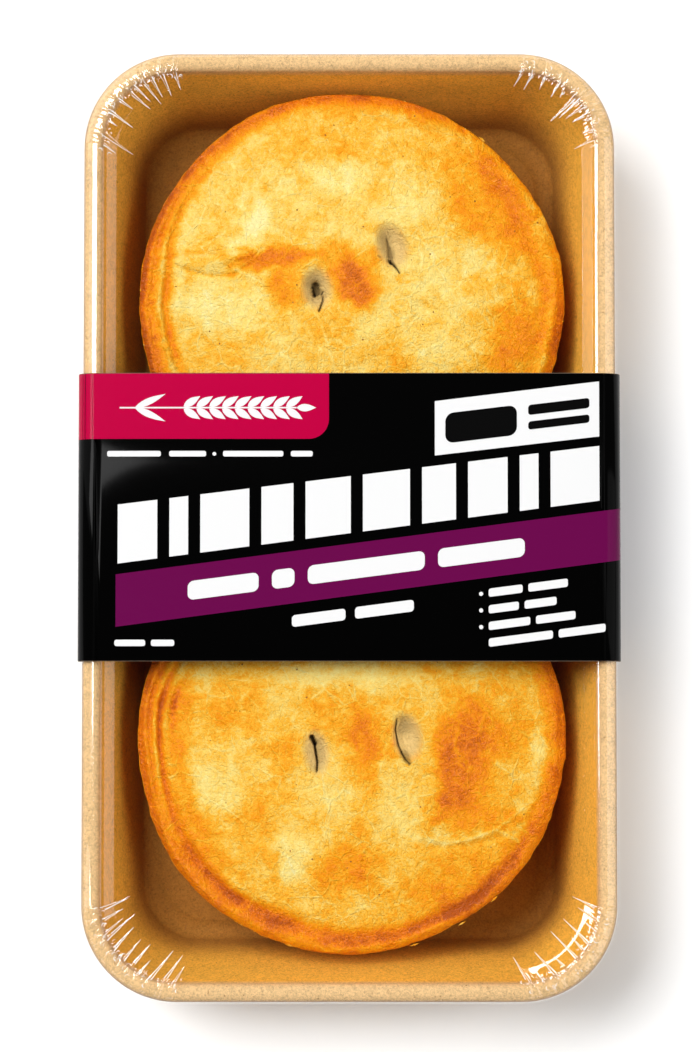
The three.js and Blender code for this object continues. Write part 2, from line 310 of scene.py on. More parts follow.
class Paint(Nodes):
    """The nodes of a material."""

    def __init__(self, name):
        self.material = bpy.data.materials.new(name)
        super().__init__(self.material)
        self.coordinates = self.add("ShaderNodeTexCoord").outputs["Object"]

    def stored(self, name):
        return self.add("ShaderNodeAttribute", attribute_name=name).outputs["Fac"]

    def vector(self, operation, inputs):
        return self.add("ShaderNodeVectorMath", inputs, operation=operation).outputs[0]

    def noise(self, size, detail=2.0, stretch=(1, 1, 1), distortion=0.0):
        """Noise from 0 to 1 with features about size millimetres wide."""
        scale = tuple(s / (size * MM) for s in stretch)
        scaled = self.vector("MULTIPLY", {0: self.coordinates, 1: scale})
        inputs = {"Vector": scaled, "Scale": 1.0, "Detail": detail, "Distortion": distortion}
        return self.add("ShaderNodeTexNoise", inputs).outputs["Fac"]

    def cells(self, size, feature, wander=0.0):
        """Distances in cells about size millimetres wide. Their edges wander by so many too."""
        inputs = {"Vector": self.coordinates, "Scale": 1 / (size * MM)}
        if wander:
            noise = self.add("ShaderNodeTexNoise", inputs).outputs["Color"]
            moved = {0: noise, 1: (wander * MM,) * 3, 2: self.coordinates}
            inputs["Vector"] = self.vector("MULTIPLY_ADD", moved)
        return self.add("ShaderNodeTexVoronoi", inputs, feature=feature).outputs["Distance"]

    def sum(self, first, second, gain=1.0):
        return self.math("MULTIPLY_ADD", second, gain, first)

    def stray(self, value, noise, gain):
        """Moves a value up and down by noise."""
        return self.sum(value, self.math("SUBTRACT", noise, 0.5), gain)

    def ramp(self, value, stops):
        node = self.add("ShaderNodeValToRGB", {"Fac": value})
        elements = node.color_ramp.elements
        while len(elements) < len(stops):
            elements.new(0.5)
        for element, (place, colour) in zip(elements, stops):
            element.position = place
            element.color = (*colour, 1)
        return node.outputs["Color"]

    def mix(self, share, first, second):
        """The first colour where share is 0, the second where it is 1."""
        inputs = {"Factor": share, 6: rgba(first), 7: rgba(second)}
        return self.add("ShaderNodeMix", inputs, data_type="RGBA").outputs[2]

    def bump(self, height, depth):
        """Relief whose full height is depth millimetres."""
        return self.add("ShaderNodeBump", {"Height": height, "Distance": depth * MM}).outputs[0]

    def finish(self, shader):
        output = self.add("ShaderNodeOutputMaterial", {"Surface": shader.outputs[0]})
        output.is_active_output = True
        return self.material

    def surface(self, colour, roughness, specular, more=None):
        inputs = {"Base Color": rgba(colour), "Roughness": roughness}
        inputs |= {"Specular IOR Level": specular, **(more or {})}
        return self.finish(self.add("ShaderNodeBsdfPrincipled", inputs))


WHITE = (1, 1, 1)
# The crust's colours, from the palest tone to the most baked
CRUST_STOPS = [
    (0.0, (0.90, 0.80, 0.36)),
    (0.15, (0.90, 0.72, 0.225)),
    (0.30, (0.90, 0.605, 0.125)),
    (0.42, (0.895, 0.465, 0.035)),
    (0.54, (0.885, 0.345, 0.004)),
    (0.68, (0.855, 0.26, 0.001)),
    (0.82, (0.74, 0.175, 0.001)),
    (1.0, (0.44, 0.08, 0.001)),
]
VENT_DOUGH = (0.74, 0.51, 0.19)
# Painted shade: the dark at the bottom of the vents' cuts and folds
PAINTED_CUT_SHADE = (0.05, 0.03, 0.01)
SPECK_BROWN = (0.30, 0.11, 0.02)
MOTTLE_SIZE, FIBRE_SIZE, GRAIN_SIZE = 4.5, 1.3, 0.35
CRACKLE_SIZE, FINE_CRACKLE_SIZE, SPOT_SPACING = 6.5, 1.3, 5.5
CRUST_RELIEF = 0.65


def crust_material():
    paint = Paint("baked_crust")
    mottle = paint.noise(MOTTLE_SIZE, 4.0, distortion=0.8)
    fibres = paint.noise(FIBRE_SIZE, 3.0, distortion=1.6)
    grain = paint.noise(GRAIN_SIZE)
    crackle = paint.between(paint.cells(CRACKLE_SIZE, "DISTANCE_TO_EDGE", 2.2), 0.0, 0.05, 1.0, 0.0)
    crackle = paint.math("MULTIPLY", crackle, paint.between(paint.noise(7.0), 0.42, 0.62))
    fine_lines = paint.cells(FINE_CRACKLE_SIZE, "DISTANCE_TO_EDGE", 0.7)
    fine_crackle = paint.between(fine_lines, 0.0, 0.14, 1.0, 0.0)
    tone = paint.stored("baked")
    for noise, gain in ((mottle, 0.42), (fibres, 0.34), (grain, 0.22)):
        tone = paint.stray(tone, noise, gain)
    for lines, gain in ((crackle, -0.13), (fine_crackle, -0.05)):
        tone = paint.sum(tone, lines, gain)
    colour = paint.ramp(tone, CRUST_STOPS)
    near_spot = paint.between(paint.cells(SPOT_SPACING, "F1"), 0.03, 0.055, 1.0, 0.0)
    colour = paint.mix(near_spot, colour, SPECK_BROWN)
    colour = paint.mix(paint.stored("unbaked"), colour, VENT_DOUGH)
    # Painted shade in the vents' cuts and folds
    colour = paint.mix(paint.stored("cut"), colour, PAINTED_CUT_SHADE)
    height = mottle
    for relief, gain in ((fibres, 0.95), (crackle, 0.25), (fine_crackle, 0.12), (grain, 0.3)):
        height = paint.sum(height, relief, gain)
    roughness = paint.between(tone, 0.2, 0.9, 0.46, 0.32)
    specular = paint.between(tone, 0.35, 0.85, 0.12, 0.32)
    return paint.surface(colour, roughness, specular, {"Normal": paint.bump(height, CRUST_RELIEF)})


# One board in two colours: the rim paler and greyer, partly painted sheen of the film over it; the
# walls a deeper orange, partly painted bounce light
KRAFT_WALL_WITH_BOUNCE = (0.93, 0.485, 0.058)
KRAFT_RIM_WITH_SHEEN = (0.755, 0.50, 0.24)
# Painted shade: a dark line along the outer edge of the rim's top
KRAFT_EDGE_SHADE = (0.40, 0.21, 0.075)
# Painted shade: the colour the board darkens to down the walls' lower part and across the floor
KRAFT_FOOT_SHADE = (0.36, 0.155, 0.022)
KRAFT_SHADES = (0.6, 1.12)  # the darkest and the lightest that its grain makes the board
KRAFT_ROUGHNESS, KRAFT_SPECULAR, KRAFT_RELIEF = 0.78, 0.25, 0.2
FIBRE_DARK = (0.30, 0.13, 0.03)


def kraft_material():
    paint = Paint("moulded_kraft")
    # The rim's paler colour is partly painted sheen, the walls' deeper orange partly painted bounce
    # light
    colour = paint.mix(paint.stored("rim"), KRAFT_WALL_WITH_BOUNCE, KRAFT_RIM_WITH_SHEEN)
    # Painted shade: the board darkens down the walls' lower part and over the floor
    colour = paint.mix(paint.stored("floor"), colour, KRAFT_FOOT_SHADE)
    # Painted shade along the rim's outer edge
    colour = paint.mix(paint.stored("edge"), colour, KRAFT_EDGE_SHADE)
    mottle = paint.noise(2.5, 5.0)
    grain = paint.noise(0.55, 3.0, distortion=1.0)
    shade = paint.stray(paint.between(mottle, 0.3, 0.7, 0.88, 1.04), grain, 1.3)
    shade = paint.between(shade, *KRAFT_SHADES, *KRAFT_SHADES)
    colour = paint.vector("SCALE", {0: colour, "Scale": shade})
    fibre = paint.noise(0.7, 2.0, stretch=(1, 0.25, 1), distortion=1.5)
    specks = paint.between(paint.cells(3.2, "F1"), 0.045, 0.075, 1.0, 0.0)
    dots = paint.math("MAXIMUM", paint.between(fibre, 0.70, 0.74), specks)
    colour = paint.mix(paint.math("MULTIPLY", dots, 0.75), colour, FIBRE_DARK)
    relief = {"Normal": paint.bump(paint.sum(grain, dots, -0.6), KRAFT_RELIEF)}
    return paint.surface(colour, KRAFT_ROUGHNESS, KRAFT_SPECULAR, relief)


FILM_MIRROR = 0.08  # the share of light that the film's two faces mirror head on
FILM_TINT = (0.99, 0.99, 0.985)
FILM_ROUGHNESS = 0.05
# Painted highlight: the white of the film's glints along its pleats and over the rim
PAINTED_GLINT_WHITE = (0.86, 0.86, 0.84)
CARD_GRAIN, CARD_RELIEF, CARD_SPECULAR = 0.25, 0.0015, 0.05


def film_material():
    paint = Paint("clear_film")
    clear = paint.add("ShaderNodeBsdfTransparent", {"Color": rgba(FILM_TINT)})
    mirror = {"Color": rgba(WHITE), "Roughness": FILM_ROUGHNESS}
    gloss = paint.add("ShaderNodeBsdfGlossy", mirror)
    facing = paint.add("ShaderNodeLayerWeight", {"Blend": 0.5}).outputs["Facing"]
    grazing = paint.math("POWER", facing, 5.0)
    mirrored = paint.math("MULTIPLY_ADD", grazing, 1 - FILM_MIRROR, FILM_MIRROR)
    inputs = {0: mirrored, 1: clear.outputs[0], 2: gloss.outputs[0]}
    return paint.finish(paint.add("ShaderNodeMixShader", inputs))


# Painted highlight: an opaque white for the film's glints
def glint_material():
    return Paint("painted_film_glints").surface(PAINTED_GLINT_WHITE, 0.3, 0.5)


def card_material(name, colour, roughness):
    paint = Paint(name)
    fine = paint.noise(CARD_GRAIN)
    varied = paint.between(fine, 0.3, 0.7, roughness - 0.02, roughness + 0.02)
    return paint.surface(colour, varied, CARD_SPECULAR, {"Normal": paint.bump(fine, CARD_RELIEF)})


# Tray


def wall_foot(side):
    """The foot of a wall, from the floor round a fillet. side is 0 inside and 1 outside."""
    slope_angle = math.degrees(math.atan(WALL_SLOPE))
    radius = FLOOR_FILLET + side * BOARD
    floor = FLOOR_TOP - side * BOARD
    middle_z = FLOOR_TOP + FLOOR_FILLET
    lean = math.hypot(1, WALL_SLOPE)
    middle_inset = RIM_WIDTH + WALL_SLOPE * (ARCH_BASE - middle_z) + FLOOR_FILLET * lean
    return section_arc(middle_inset, floor + radius, radius, radius, -90, -slope_angle, 10)


def straight(start, end, steps):
    """Points between two section points, without the two themselves."""
    shares = np.linspace(0, 1, steps + 1)[1:-1]
    return [tuple(np.array(start) * (1 - share) + np.array(end) * share) for share in shares]


def tray_section():
    """From the outer wall's foot, up and over the rim, and down to the floor's raised middle. Also
    returns how many of its points lie outside."""
    half = RIM_WIDTH / 2
    outer_foot, inner_foot = wall_foot(1), wall_foot(0)[::-1]
    under_arch = section_arc(half, ARCH_BASE, half - BOARD, RIM_RISE - BOARD, 180, 0, 10)
    arch = section_arc(half, ARCH_BASE, half, RIM_RISE, 0, 180, 24)
    section = outer_foot + straight(outer_foot[-1], under_arch[0], 8) + under_arch
    section += [(BOARD, LIP_BOTTOM + 0.2), (0.5 * BOARD, LIP_BOTTOM), (0.15, LIP_BOTTOM + 0.1)]
    outer_rings = len(section)
    section += arch + straight(arch[-1], inner_foot[0], 16) + inner_foot
    floor_inset = section[-1][0] + FLOOR_STEP_INSET
    section += section_arc(floor_inset, FLOOR_TOP, *FLOOR_STEP_ROUND, 0, 90, 4)
    section += [(floor_inset + reach, FLOOR_TOP + FLOOR_STEP) for reach in FLOOR_STEP_ENDS]
    return section, outer_rings


def build_tray():
    section, outer_rings = tray_section()
    rings = swept_rings(section, *TRAY_STEPS)
    count = rings.shape[1]
    insets = np.repeat([inset for inset, z in section], count)
    points = rings.reshape(-1, 3)
    level = points[:, 2]
    inside = np.arange(len(points)) >= outer_rings * count
    waves = WALL_WAVE * layered_noise(points[:, 0] + level, points[:, 1], WALL_WAVE_SIZE, 31)
    on_wall = ramp(level, FLOOR_TOP + 3, FLOOR_TOP + 12) * ramp(ARCH_BASE - level, 0, 6)
    outward = points[:, :2] / np.linalg.norm(points[:, :2], axis=1)[:, None]
    points[:, :2] += outward * (waves * on_wall)[:, None]
    all_points = [*points, (0, 0, TRAY_LOW[2]), (0, 0, FLOOR_TOP + FLOOR_STEP)]
    faces = band_faces(len(section), count)
    faces += fan(0, count, len(points), True)
    faces += fan((len(section) - 1) * count, count, len(points) + 1, False)
    kraft = [kraft_material()]
    piece = make_piece("kraft_tray", all_points, faces, kraft, ["tray"])
    rim = np.where(inside, ramp(level, ARCH_BASE - 1.8, ARCH_BASE), 1)
    # Painted shade: darker from 20 mm above the floor down to it, and over the floor
    floor = np.where(inside, 1 - ramp(level, FLOOR_TOP + 1, FLOOR_TOP + 20), 0)
    # Painted shade: the outermost 0.75 mm of the rim's arch darkens
    edge = np.where(inside, 1 - ramp(insets, 0.1, 0.75), 0)
    keep_values(piece, "rim", [*rim, 1, 0])
    keep_values(piece, "floor", [*floor, 0, 1])
    keep_values(piece, "edge", [*edge, 0, 0])


# Pies


class Vent:
    """A steam vent: a pit, lean radians off the far direction, with cuts and folds in it, and painted
    shade in these.
    """

    def __init__(self, place, lean, half_size, depth, aside, cuts, painted_shades):
        self.x, self.y = place
        self.lean, self.depth, self.aside = lean, depth, aside
        self.half_width, self.half_length = half_size
        self.cuts, self.painted_shades = cuts, painted_shades

    def seen(self, x, y):
        """How far points lie across the pit, and how far along it."""
        return turned(x - self.x, y - self.y, self.lean)

    def pit(self, x, y, inner=0.15, outer=1.12):
        """1 in the middle of the pit, 0 outside it."""
        across, along = self.seen(x, y)
        return 1 - ramp(np.hypot(across / self.half_width, along / self.half_length), inner, outer)

    def fall(self, x, y):
        """How far the lid sinks."""
        return self.depth * self.pit(x, y) + sum(cut.depth * cut.mark(x, y) for cut in self.cuts)

    def painted_shade(self, x, y):
        """Painted shade in the cuts and folds: 0 is clear dough, 1 is as dark as the bottom of a cut.
        """
        marks = [cut.shade * cut.mark(x, y) for cut in self.cuts]
        return np.max(marks + [shade.value(x, y) for shade in self.painted_shades], axis=0)


class Cut:
    """A cut or fold along a few points, darkened by painted shade as strong as its shade; a raised
    one that is darkened is a brown crumb. Its half width changes evenly from start to end.
    """

    def __init__(self, depth, shade, half_widths, *points):
        self.depth, self.shade, self.points = depth, shade, points
        self.half_widths = np.linspace(*half_widths, len(points))

    def mark(self, x, y):
        """1 inside the cut, 0 outside it."""
        marks = []
        for i in range(len(self.points) - 1):
            distance, share = line_place(x, y, self.points[i], self.points[i + 1])
            half_width = self.half_widths[i] * (1 - share) + self.half_widths[i + 1] * share
            marks.append(ramp(half_width - distance, -0.15, 0.15))
        return np.max(marks, axis=0)


class Patch:
    """An oval of the lid that is baked more, or less if its gain is negative."""

    def __init__(self, x, y, half_width, half_height, gain, turn=0.0):
        self.x, self.y, self.half_width, self.half_height = x, y, half_width, half_height
        self.gain, self.turn = gain, math.radians(turn)

    def value(self, x, y):
        across, along = turned(x - self.x, y - self.y, self.turn)
        distance = np.hypot(across / self.half_width, along / self.half_height)
        return self.gain * (1 - ramp(distance, 0.35, 1.5))


def degrees_from(direction, angle):
    return (angle - direction + 180) % 360 - 180


class Ring:
    """A ridge, or a groove if its rise is negative, along the lid's rim. It is strongest in a
    direction, in degrees, where it lies at a share of the lid's radius, and fades over a spread.
    With a drift, that share changes by so much for each degree."""

    # Its tone: on most rings a groove is darker and a ridge paler, partly baking and partly painted
    # shade in the grooves and painted highlights on the ridges
    def __init__(self, share, width, rise, tone, direction, spread, drift=0.0):
        self.share, self.width, self.rise, self.tone = share, width, rise, tone
        self.direction, self.spread, self.drift = direction, spread, drift

    def mark(self, radius, angle):
        aside = degrees_from(self.direction, angle)
        share = self.share + self.drift * aside
        return bump(radius - share * PIE_RADIUS, self.width) * bump(aside, self.spread)


class Crease:
    """A fold in the lid along a few points, raised, or sunk if its rise is negative."""

    # Its tone: most raised creases are paler and sunk ones darker, partly baking and partly painted
    # highlight and painted shade
    def __init__(self, width, rise, tone, *points):
        self.width, self.rise, self.tone, self.points = width, rise, tone, points

    def mark(self, x, y):
        ends = zip(self.points, self.points[1:])
        distances = [line_place(x, y, start, end)[0] for start, end in ends]
        return bump(np.min(distances, axis=0), self.width)


def line_place(x, y, start, end):
    """How far points lie from a line between two ends, and at what share of its length."""
    start, end = np.array(start, float), np.array(end, float)
    along = end - start
    share = ((x - start[0]) * along[0] + (y - start[1]) * along[1]) / (along @ along)
    held = np.clip(share, 0, 1)
    return np.hypot(x - start[0] - held * along[0], y - start[1] - held * along[1]), held


# Each vent's cuts, and its painted shades: ovals of painted shade over the folds in its pit
FAR_RIGHT_CUTS = [
    Cut(2.6, 0.97, (0.42, 0.16), (10.8, 10.9), (11.9, 9.8), (13.3, 7.7)),
    Cut(1.2, 0.85, (0.18, 0.3), (9.7, 11.2), (10.9, 10.3)),
    Cut(0.9, 0.62, (0.15, 0.75), (9.6, 17.4), (10.4, 14.6), (10.7, 12.2)),
    Cut(0.2, 0.25, (0.1, 0.1), (7.6, 14), (7.6, 17.2), (9.6, 19.9), (12.2, 19.6), (14.1, 17.4)),
    Cut(-0.4, 0.45, (0.35, 0.3), (7.5, 12.3), (8.0, 12.0)),
]
FAR_RIGHT_PAINTED_SHADES = [Patch(9.3, 16.4, 2.0, 3.4, 0.34, 18), Patch(10.6, 13.4, 1.3, 2.4, 0.45, 12)]
FAR_LEFT_CUTS = [
    Cut(2.2, 0.8, (1.0, 1.0), (-9.4, 4.6), (-9.2, 2.8)),
    Cut(1.0, 0.97, (0.2, 0.45), (-10.4, 4.4), (-9.7, 1.8)),
    Cut(1.6, 0.9, (0.16, 0.22), (-7.6, 2.9), (-7.5, 0.2), (-8.4, -2.5)),
    Cut(-0.5, 0.0, (0.3, 0.3), (-9.0, 1.0), (-8.3, 1.6)),
]
FAR_LEFT_PAINTED_SHADES = [Patch(-9.8, 5.4, 2.6, 2.6, 0.42), Patch(-9.2, 2.6, 2.2, 3.2, 0.3)]
NEAR_LEFT_CUTS = [
    Cut(2.2, 0.97, (0.62, 0.5), (-10.4, 0.6), (-9.5, -1.2)),
    Cut(2.2, 0.95, (0.3, 0.2), (-9.7, -1.2), (-9.2, -4.2), (-8.9, -6.0), (-9.0, -8.4)),
]
NEAR_LEFT_PAINTED_SHADES = [Patch(-8.6, -3.6, 1.5, 3.8, 0.32, 6), Patch(-9.6, -7.4, 1.6, 1.6, 0.16)]
NEAR_RIGHT_CUTS = [
    Cut(1.4, 0.85, (0.15, 0.24), (12.3, 5.3), (11.9, 2.4), (12.6, -1.2), (13.6, -3.6)),
    Cut(1.6, 0.95, (0.25, 0.3), (13.6, -3.6), (14.6, -5.4), (15.8, -6.6)),
    Cut(-0.6, 0.0, (0.2, 0.2), (12.0, -0.2), (12.6, -0.8)),
    Cut(-0.6, 0.0, (0.2, 0.2), (13.1, -4.2), (13.7, -4.8)),
    Cut(0.3, 0.3, (0.2, 0.1), (13.9, 5.6), (13.4, 3.4)),
]
NEAR_RIGHT_PAINTED_SHADES = [Patch(14.0, 3.6, 2.2, 2.8, 0.32), Patch(14.8, -4.4, 0.9, 1.8, 0.5, 30)]

FAR_PIE = {
    "node": "pie_far",
    "seed": 11,
    "wave_phase": 0.4,
    "edge_phase": 1.5,
    "vents": [
        Vent((11.2, 15.0), 0.31, (4.7, 7.1), 3.0, 0.0, FAR_RIGHT_CUTS, FAR_RIGHT_PAINTED_SHADES),
        Vent((-9.0, 3.4), 0.12, (4.5, 6.3), 2.8, 0.0, FAR_LEFT_CUTS, FAR_LEFT_PAINTED_SHADES),
    ],
    "rings": [
        Ring(0.985, 0.8, 0.19, 0.15, 170, 100),
        Ring(0.818, 1.3, 0.38, -0.14, 178, 24, -0.0007),
        Ring(0.872, 1.1, -0.75, 0.31, 180, 42, -0.0011),
        Ring(0.901, 0.8, 0.88, -0.11, 180, 40, -0.0009),
        Ring(0.946, 0.8, -0.5, 0.07, 172, 50),
        Ring(0.962, 0.7, 0.75, -0.1, 176, 40),
        Ring(0.965, 1.4, -0.25, 0.15, 115, 25),
        Ring(0.93, 1.4, 0.62, -0.05, 65, 30),
        Ring(0.982, 1.5, 0.25, -0.37, 34, 24),
        Ring(0.95, 1.0, 0.62, -0.03, 12, 20),
        Ring(0.93, 1.0, 0.75, -0.1, -10, 14),
        Ring(0.975, 1.6, -0.25, 0.14, -10, 16),
        Ring(0.89, 2.0, -0.5, 0.18, 20, 50),
    ],
    "creases": [
        Crease(2.6, 0.9, 0.05, (-58, 11), (-40, 11), (-26, 13.4)),
        Crease(1.3, 0.5, -0.16, (-37.5, 9.6), (-33, 11.6), (-28.4, 13.6)),
        Crease(0.55, -0.55, 0.1, (-50, 12), (-43.7, 13.6), (-39, 13.3), (-28, 14.6)),
        Crease(0.55, -0.55, 0.1, (-47, 10), (-43.4, 8.2), (-37.2, 6.9), (-31, 7.4), (-27, 10)),
        Crease(0.6, 0.4, -0.12, (-31, 8.6), (-26.5, 6.9), (-23, 4.6)),
        Crease(0.45, 0.25, -0.14, (-8.6, -4.4), (-6.6, -10), (-4.4, -17)),
        Crease(0.7, -0.7, 0.2, (53.2, 21), (54.8, 17.6), (55.6, 14.4)),
        Crease(0.8, 0.4, -0.1, (9, 52), (12, 49.4), (15, 50.6)),
        Crease(0.6, -0.4, 0.05, (30, 49.5), (31.5, 45)),
    ],
    "notch": (-54.6, 10.6, 1.1, 2.4),
    "flakes": [(52, 0.995, 1.2, 0.4), (98, 0.99, 0.9, 0.3), (176, 0.995, 0.8, 0.35)],
    "base_tone": 0.375,
    "edge_tone": 0.14,
    "rim_tone": 0.13,
    "bakes": [(175, 60, 0.23), (75, 45, 0.10), (-35, 40, 0.13)],
    "patches": [
        Patch(39, 26, 12, 13, 0.27, 20),
        Patch(46, 8, 8, 14, 0.06),
        Patch(43, -10, 9, 9, 0.28),
        Patch(27, 10, 9, 14, -0.09),
        Patch(-2, 11, 8, 5.5, 0.26),
        Patch(2, 4, 5, 6.5, 0.40, 25),
        Patch(-20, 12.2, 12, 3, 0.43, 6),
        Patch(-16, 4, 5, 5, 0.22),
        Patch(-11, -8, 5, 7, 0.06),
        Patch(11, -13, 9, 6, 0.05),
        Patch(22, -10, 9, 5, -0.07),
        Patch(0, 43, 22, 6, 0.08),
        Patch(24, 38, 8, 6, 0.07),
        Patch(-27, 21, 4, 7, -0.33, -38),
        Patch(-4, 33, 7, 5, -0.14),
        Patch(-34, -2, 11, 8, -0.18),
        Patch(16, 28, 9, 7, -0.14),
        Patch(-18, 28, 9, 9, -0.04),
    ],
}
NEAR_PIE = {
    "node": "pie_near",
    "seed": 29,
    "wave_phase": 2.1,
    "edge_phase": 1.9,
    "vents": [
        Vent((-9.0, -3.6), 0.15, (3.8, 6.6), 2.2, -0.8, NEAR_LEFT_CUTS, NEAR_LEFT_PAINTED_SHADES),
        Vent((15.2, 0.6), 0.16, (4.4, 7.0), 2.8, -2.6, NEAR_RIGHT_CUTS, NEAR_RIGHT_PAINTED_SHADES),
    ],
    "rings": [
        Ring(0.842, 0.9, -0.5, 0.41, 170, 9),
        Ring(0.872, 0.8, 0.88, 0.11, 170, 10),
        Ring(0.902, 0.9, -0.75, 0.48, 176, 22),
        Ring(0.92, 0.7, 0.88, -0.25, 178, 20),
        Ring(0.947, 0.8, -0.62, 0.07, 174, 26),
        Ring(0.965, 0.7, 0.75, -0.11, 174, 30),
        Ring(0.85, 1.0, 0.5, 0.23, 212, 14),
        Ring(0.885, 1.3, -0.88, 0.31, 216, 26),
        Ring(0.955, 1.2, 0.88, -0.05, 208, 26),
        Ring(0.95, 1.2, 0.75, -0.06, 250, 24),
        Ring(0.90, 2.0, -0.88, 0.33, 246, 30),
        Ring(0.935, 2.0, -0.62, 0.34, 302, 50),
        Ring(0.97, 1.0, 0.62, -0.22, 285, 50),
        Ring(0.88, 2.4, 0.38, -0.16, 353, 16),
        Ring(0.80, 2.6, 0.25, 0.28, 195, 32),
        Ring(0.94, 1.6, 0.62, -0.08, 0, 30),
    ],
    "creases": [
        Crease(0.5, 0.3, -0.16, (17.8, -26.2), (25, -27.8), (31.7, -26.7), (38.7, -24), (46, -18.3)),
        Crease(0.5, 0.25, -0.16, (39, -24.2), (44.9, -27.2)),
        Crease(0.9, -0.35, 0.03, (20, -28.8), (31.7, -28.4), (40, -25.8)),
        Crease(0.45, 0.2, -0.12, (29, 5), (27.6, -2), (32, -8), (29.6, -14)),
        Crease(0.45, 0.2, -0.1, (36, 7), (33.4, 0), (35.6, -7)),
        Crease(0.5, 0.3, -0.1, (-49, 7.6), (-45, 7.2)),
        Crease(0.5, 0.3, -0.1, (-7, -12), (-5.5, -20), (-7, -27)),
    ],
    "notch": (-51.2, -11.0, 0.8, 1.8),
    "flakes": [
        (239, 0.998, 1.7, 0.4), (243, 0.996, 1.0, 0.35), (253, 0.998, 1.5, 0.4),
        (287, 0.996, 1.8, 0.35), (301, 0.996, 1.3, 0.3), (312, 0.994, 1.5, 0.3),
    ],
    "base_tone": 0.43,
    "edge_tone": 0.25,
    "rim_tone": 0.1,
    "bakes": [(172, 34, 0.11), (20, 30, 0.11)],
    "patches": [
        Patch(31, -3, 8, 14, 0.41, -6),
        Patch(24, -8, 2.6, 13, 0.18),
        Patch(28, -20, 7, 7, 0.22),
        Patch(33, 10, 6, 6, 0.06),
        Patch(38, -21, 7, 3.5, 0.14),
        Patch(45, 0, 7, 16, 0.06),
        Patch(4, -2, 5.5, 9, 0.27),
        Patch(-6, 5, 9, 3.6, 0.06),
        Patch(-18, -4, 6, 5.6, 0.12),
        Patch(-31, 8, 8, 8, 0.08),
        Patch(-1, -36, 9, 7, 0.22),
        Patch(28, -38, 16, 8, 0.17, 28),
        Patch(-42, -8, 4, 12, -0.09, 8),
        Patch(-35, -11, 8, 6, -0.17),
        Patch(-14, -30, 6, 9, -0.21),
        Patch(13, -20, 5, 12, -0.11),
        Patch(0, 17, 17, 5, -0.19),
        Patch(-6, -14, 6, 7, -0.13),
    ],
}


def rim_places(pie, x, y):
    """Each point's radius, strayed so that rings wander, and its angle in degrees."""
    seed = pie["seed"]
    radius = np.hypot(x, y)
    for layer, (stray, size) in enumerate(RIM_STRAYS):
        radius = radius + stray * smooth_noise(x, y, size, seed + 3 + layer)
    return radius, np.degrees(np.arctan2(y, x))


def lid_relief(pie, x, y):
    """Height of the lid above the pie's base."""
    reach = np.minimum(1, np.hypot(x, y) / PIE_RADIUS)
    phase, seed = pie["wave_phase"], pie["seed"]
    waves = np.sin(x / WAVE_X + phase) * np.sin(y / WAVE_Y - phase)
    waves += 0.5 * np.sin((x + y) / WAVE_DIAGONAL + 2 * phase)
    inner = 1 - reach**4
    height = PIE_EDGE_HEIGHT + (PIE_HEIGHT - PIE_EDGE_HEIGHT) * (1 - reach**DOME_POWER)
    height -= LID_EDGE_FALL * ramp(reach, 0.95, 1.02)
    height += WAVE_HEIGHT * waves * inner
    height += LUMP_HEIGHT * layered_noise(x, y, LUMP_SIZE, seed) * inner
    height += GRIT_HEIGHT * layered_noise(x, y, GRIT_SIZE, seed + 5)
    height += WRINKLE_HEIGHT * wrinkles(x, y, WRINKLE_SIZE, seed + 12) * inner
    radius, angle = rim_places(pie, x, y)
    lumps = 1 + RIDGE_LUMPS * smooth_noise(x, y, RIDGE_LUMP_SIZE, seed + 9)
    for ring in pie["rings"]:
        height += ring.rise * ring.mark(radius, angle) * lumps
    for vent in pie["vents"]:
        height -= vent.fall(x, y)
    for crease in pie["creases"]:
        height += crease.rise * crease.mark(x, y)
    notch_x, notch_y, depth, width = pie["notch"]
    return height - depth * bump(np.hypot(x - notch_x, y - notch_y), width)


def strayed(side, x, y, seed):
    """x or y of places, moved about so that the edges of patches are ragged."""
    moved = side + PATCH_STRAY * layered_noise(x, y, PATCH_STRAY_SIZE, seed)
    return moved + RAGGEDNESS * smooth_noise(x, y, RAGGED_SIZE, seed + 1)


def lid_tone(pie, x, y):
    """How baked the lid is, from 0, pale, to 1, dark brown."""
    reach = np.hypot(x, y) / PIE_RADIUS
    radius, angle = rim_places(pie, x, y)
    seed = pie["seed"]
    shift_x, shift_y = strayed(x, x, y, seed + 20), strayed(y, x, y, seed + 24)
    clouds = TONE_CLOUDS * layered_noise(shift_x, shift_y, CLOUD_SIZE, seed + 30)
    flecks = TONE_FLECKS * layered_noise(2.4 * (x - shift_x), y - shift_y, FLECK_SIZE, seed + 33)
    tone = pie["base_tone"] + clouds + flecks
    for patch in pie["patches"]:
        tone = tone + patch.value(shift_x, shift_y)
    edge = ramp(reach, *LID_EDGE)
    # The rim band's tone is partly painted shade where the lid's edge curves down
    tone += pie["edge_tone"] * edge + pie["rim_tone"] * ramp(reach, *LID_RIM)
    for direction, spread, gain in pie["bakes"]:
        tone += gain * edge * bump(degrees_from(direction, angle), spread)
    # The rings' and creases' tones are partly painted shade in grooves and painted highlights on
    # ridges
    for ring in pie["rings"]:
        tone += ring.tone * ring.mark(radius, angle)
    for crease in pie["creases"]:
        tone += crease.tone * crease.mark(x, y)
    return tone - WRINKLE_TONE * wrinkles(x, y, WRINKLE_SIZE, seed + 12)


def disc_points(cells):
    """A square grid of points pressed evenly into a circle of radius 1."""
    side = np.linspace(-1, 1, cells + 1)
    u, v = np.meshgrid(side, side, indexing="ij")
    wide = np.abs(u) >= np.abs(v)
    radius = np.where(wide, u, v)
    safe = np.where(radius == 0, 1, radius)
    slant = math.pi / 4 * np.where(wide, v, u) / safe
    x = np.where(wide, radius * np.cos(slant), radius * np.sin(slant))
    y = np.where(wide, radius * np.sin(slant), radius * np.cos(slant))
    return x, y


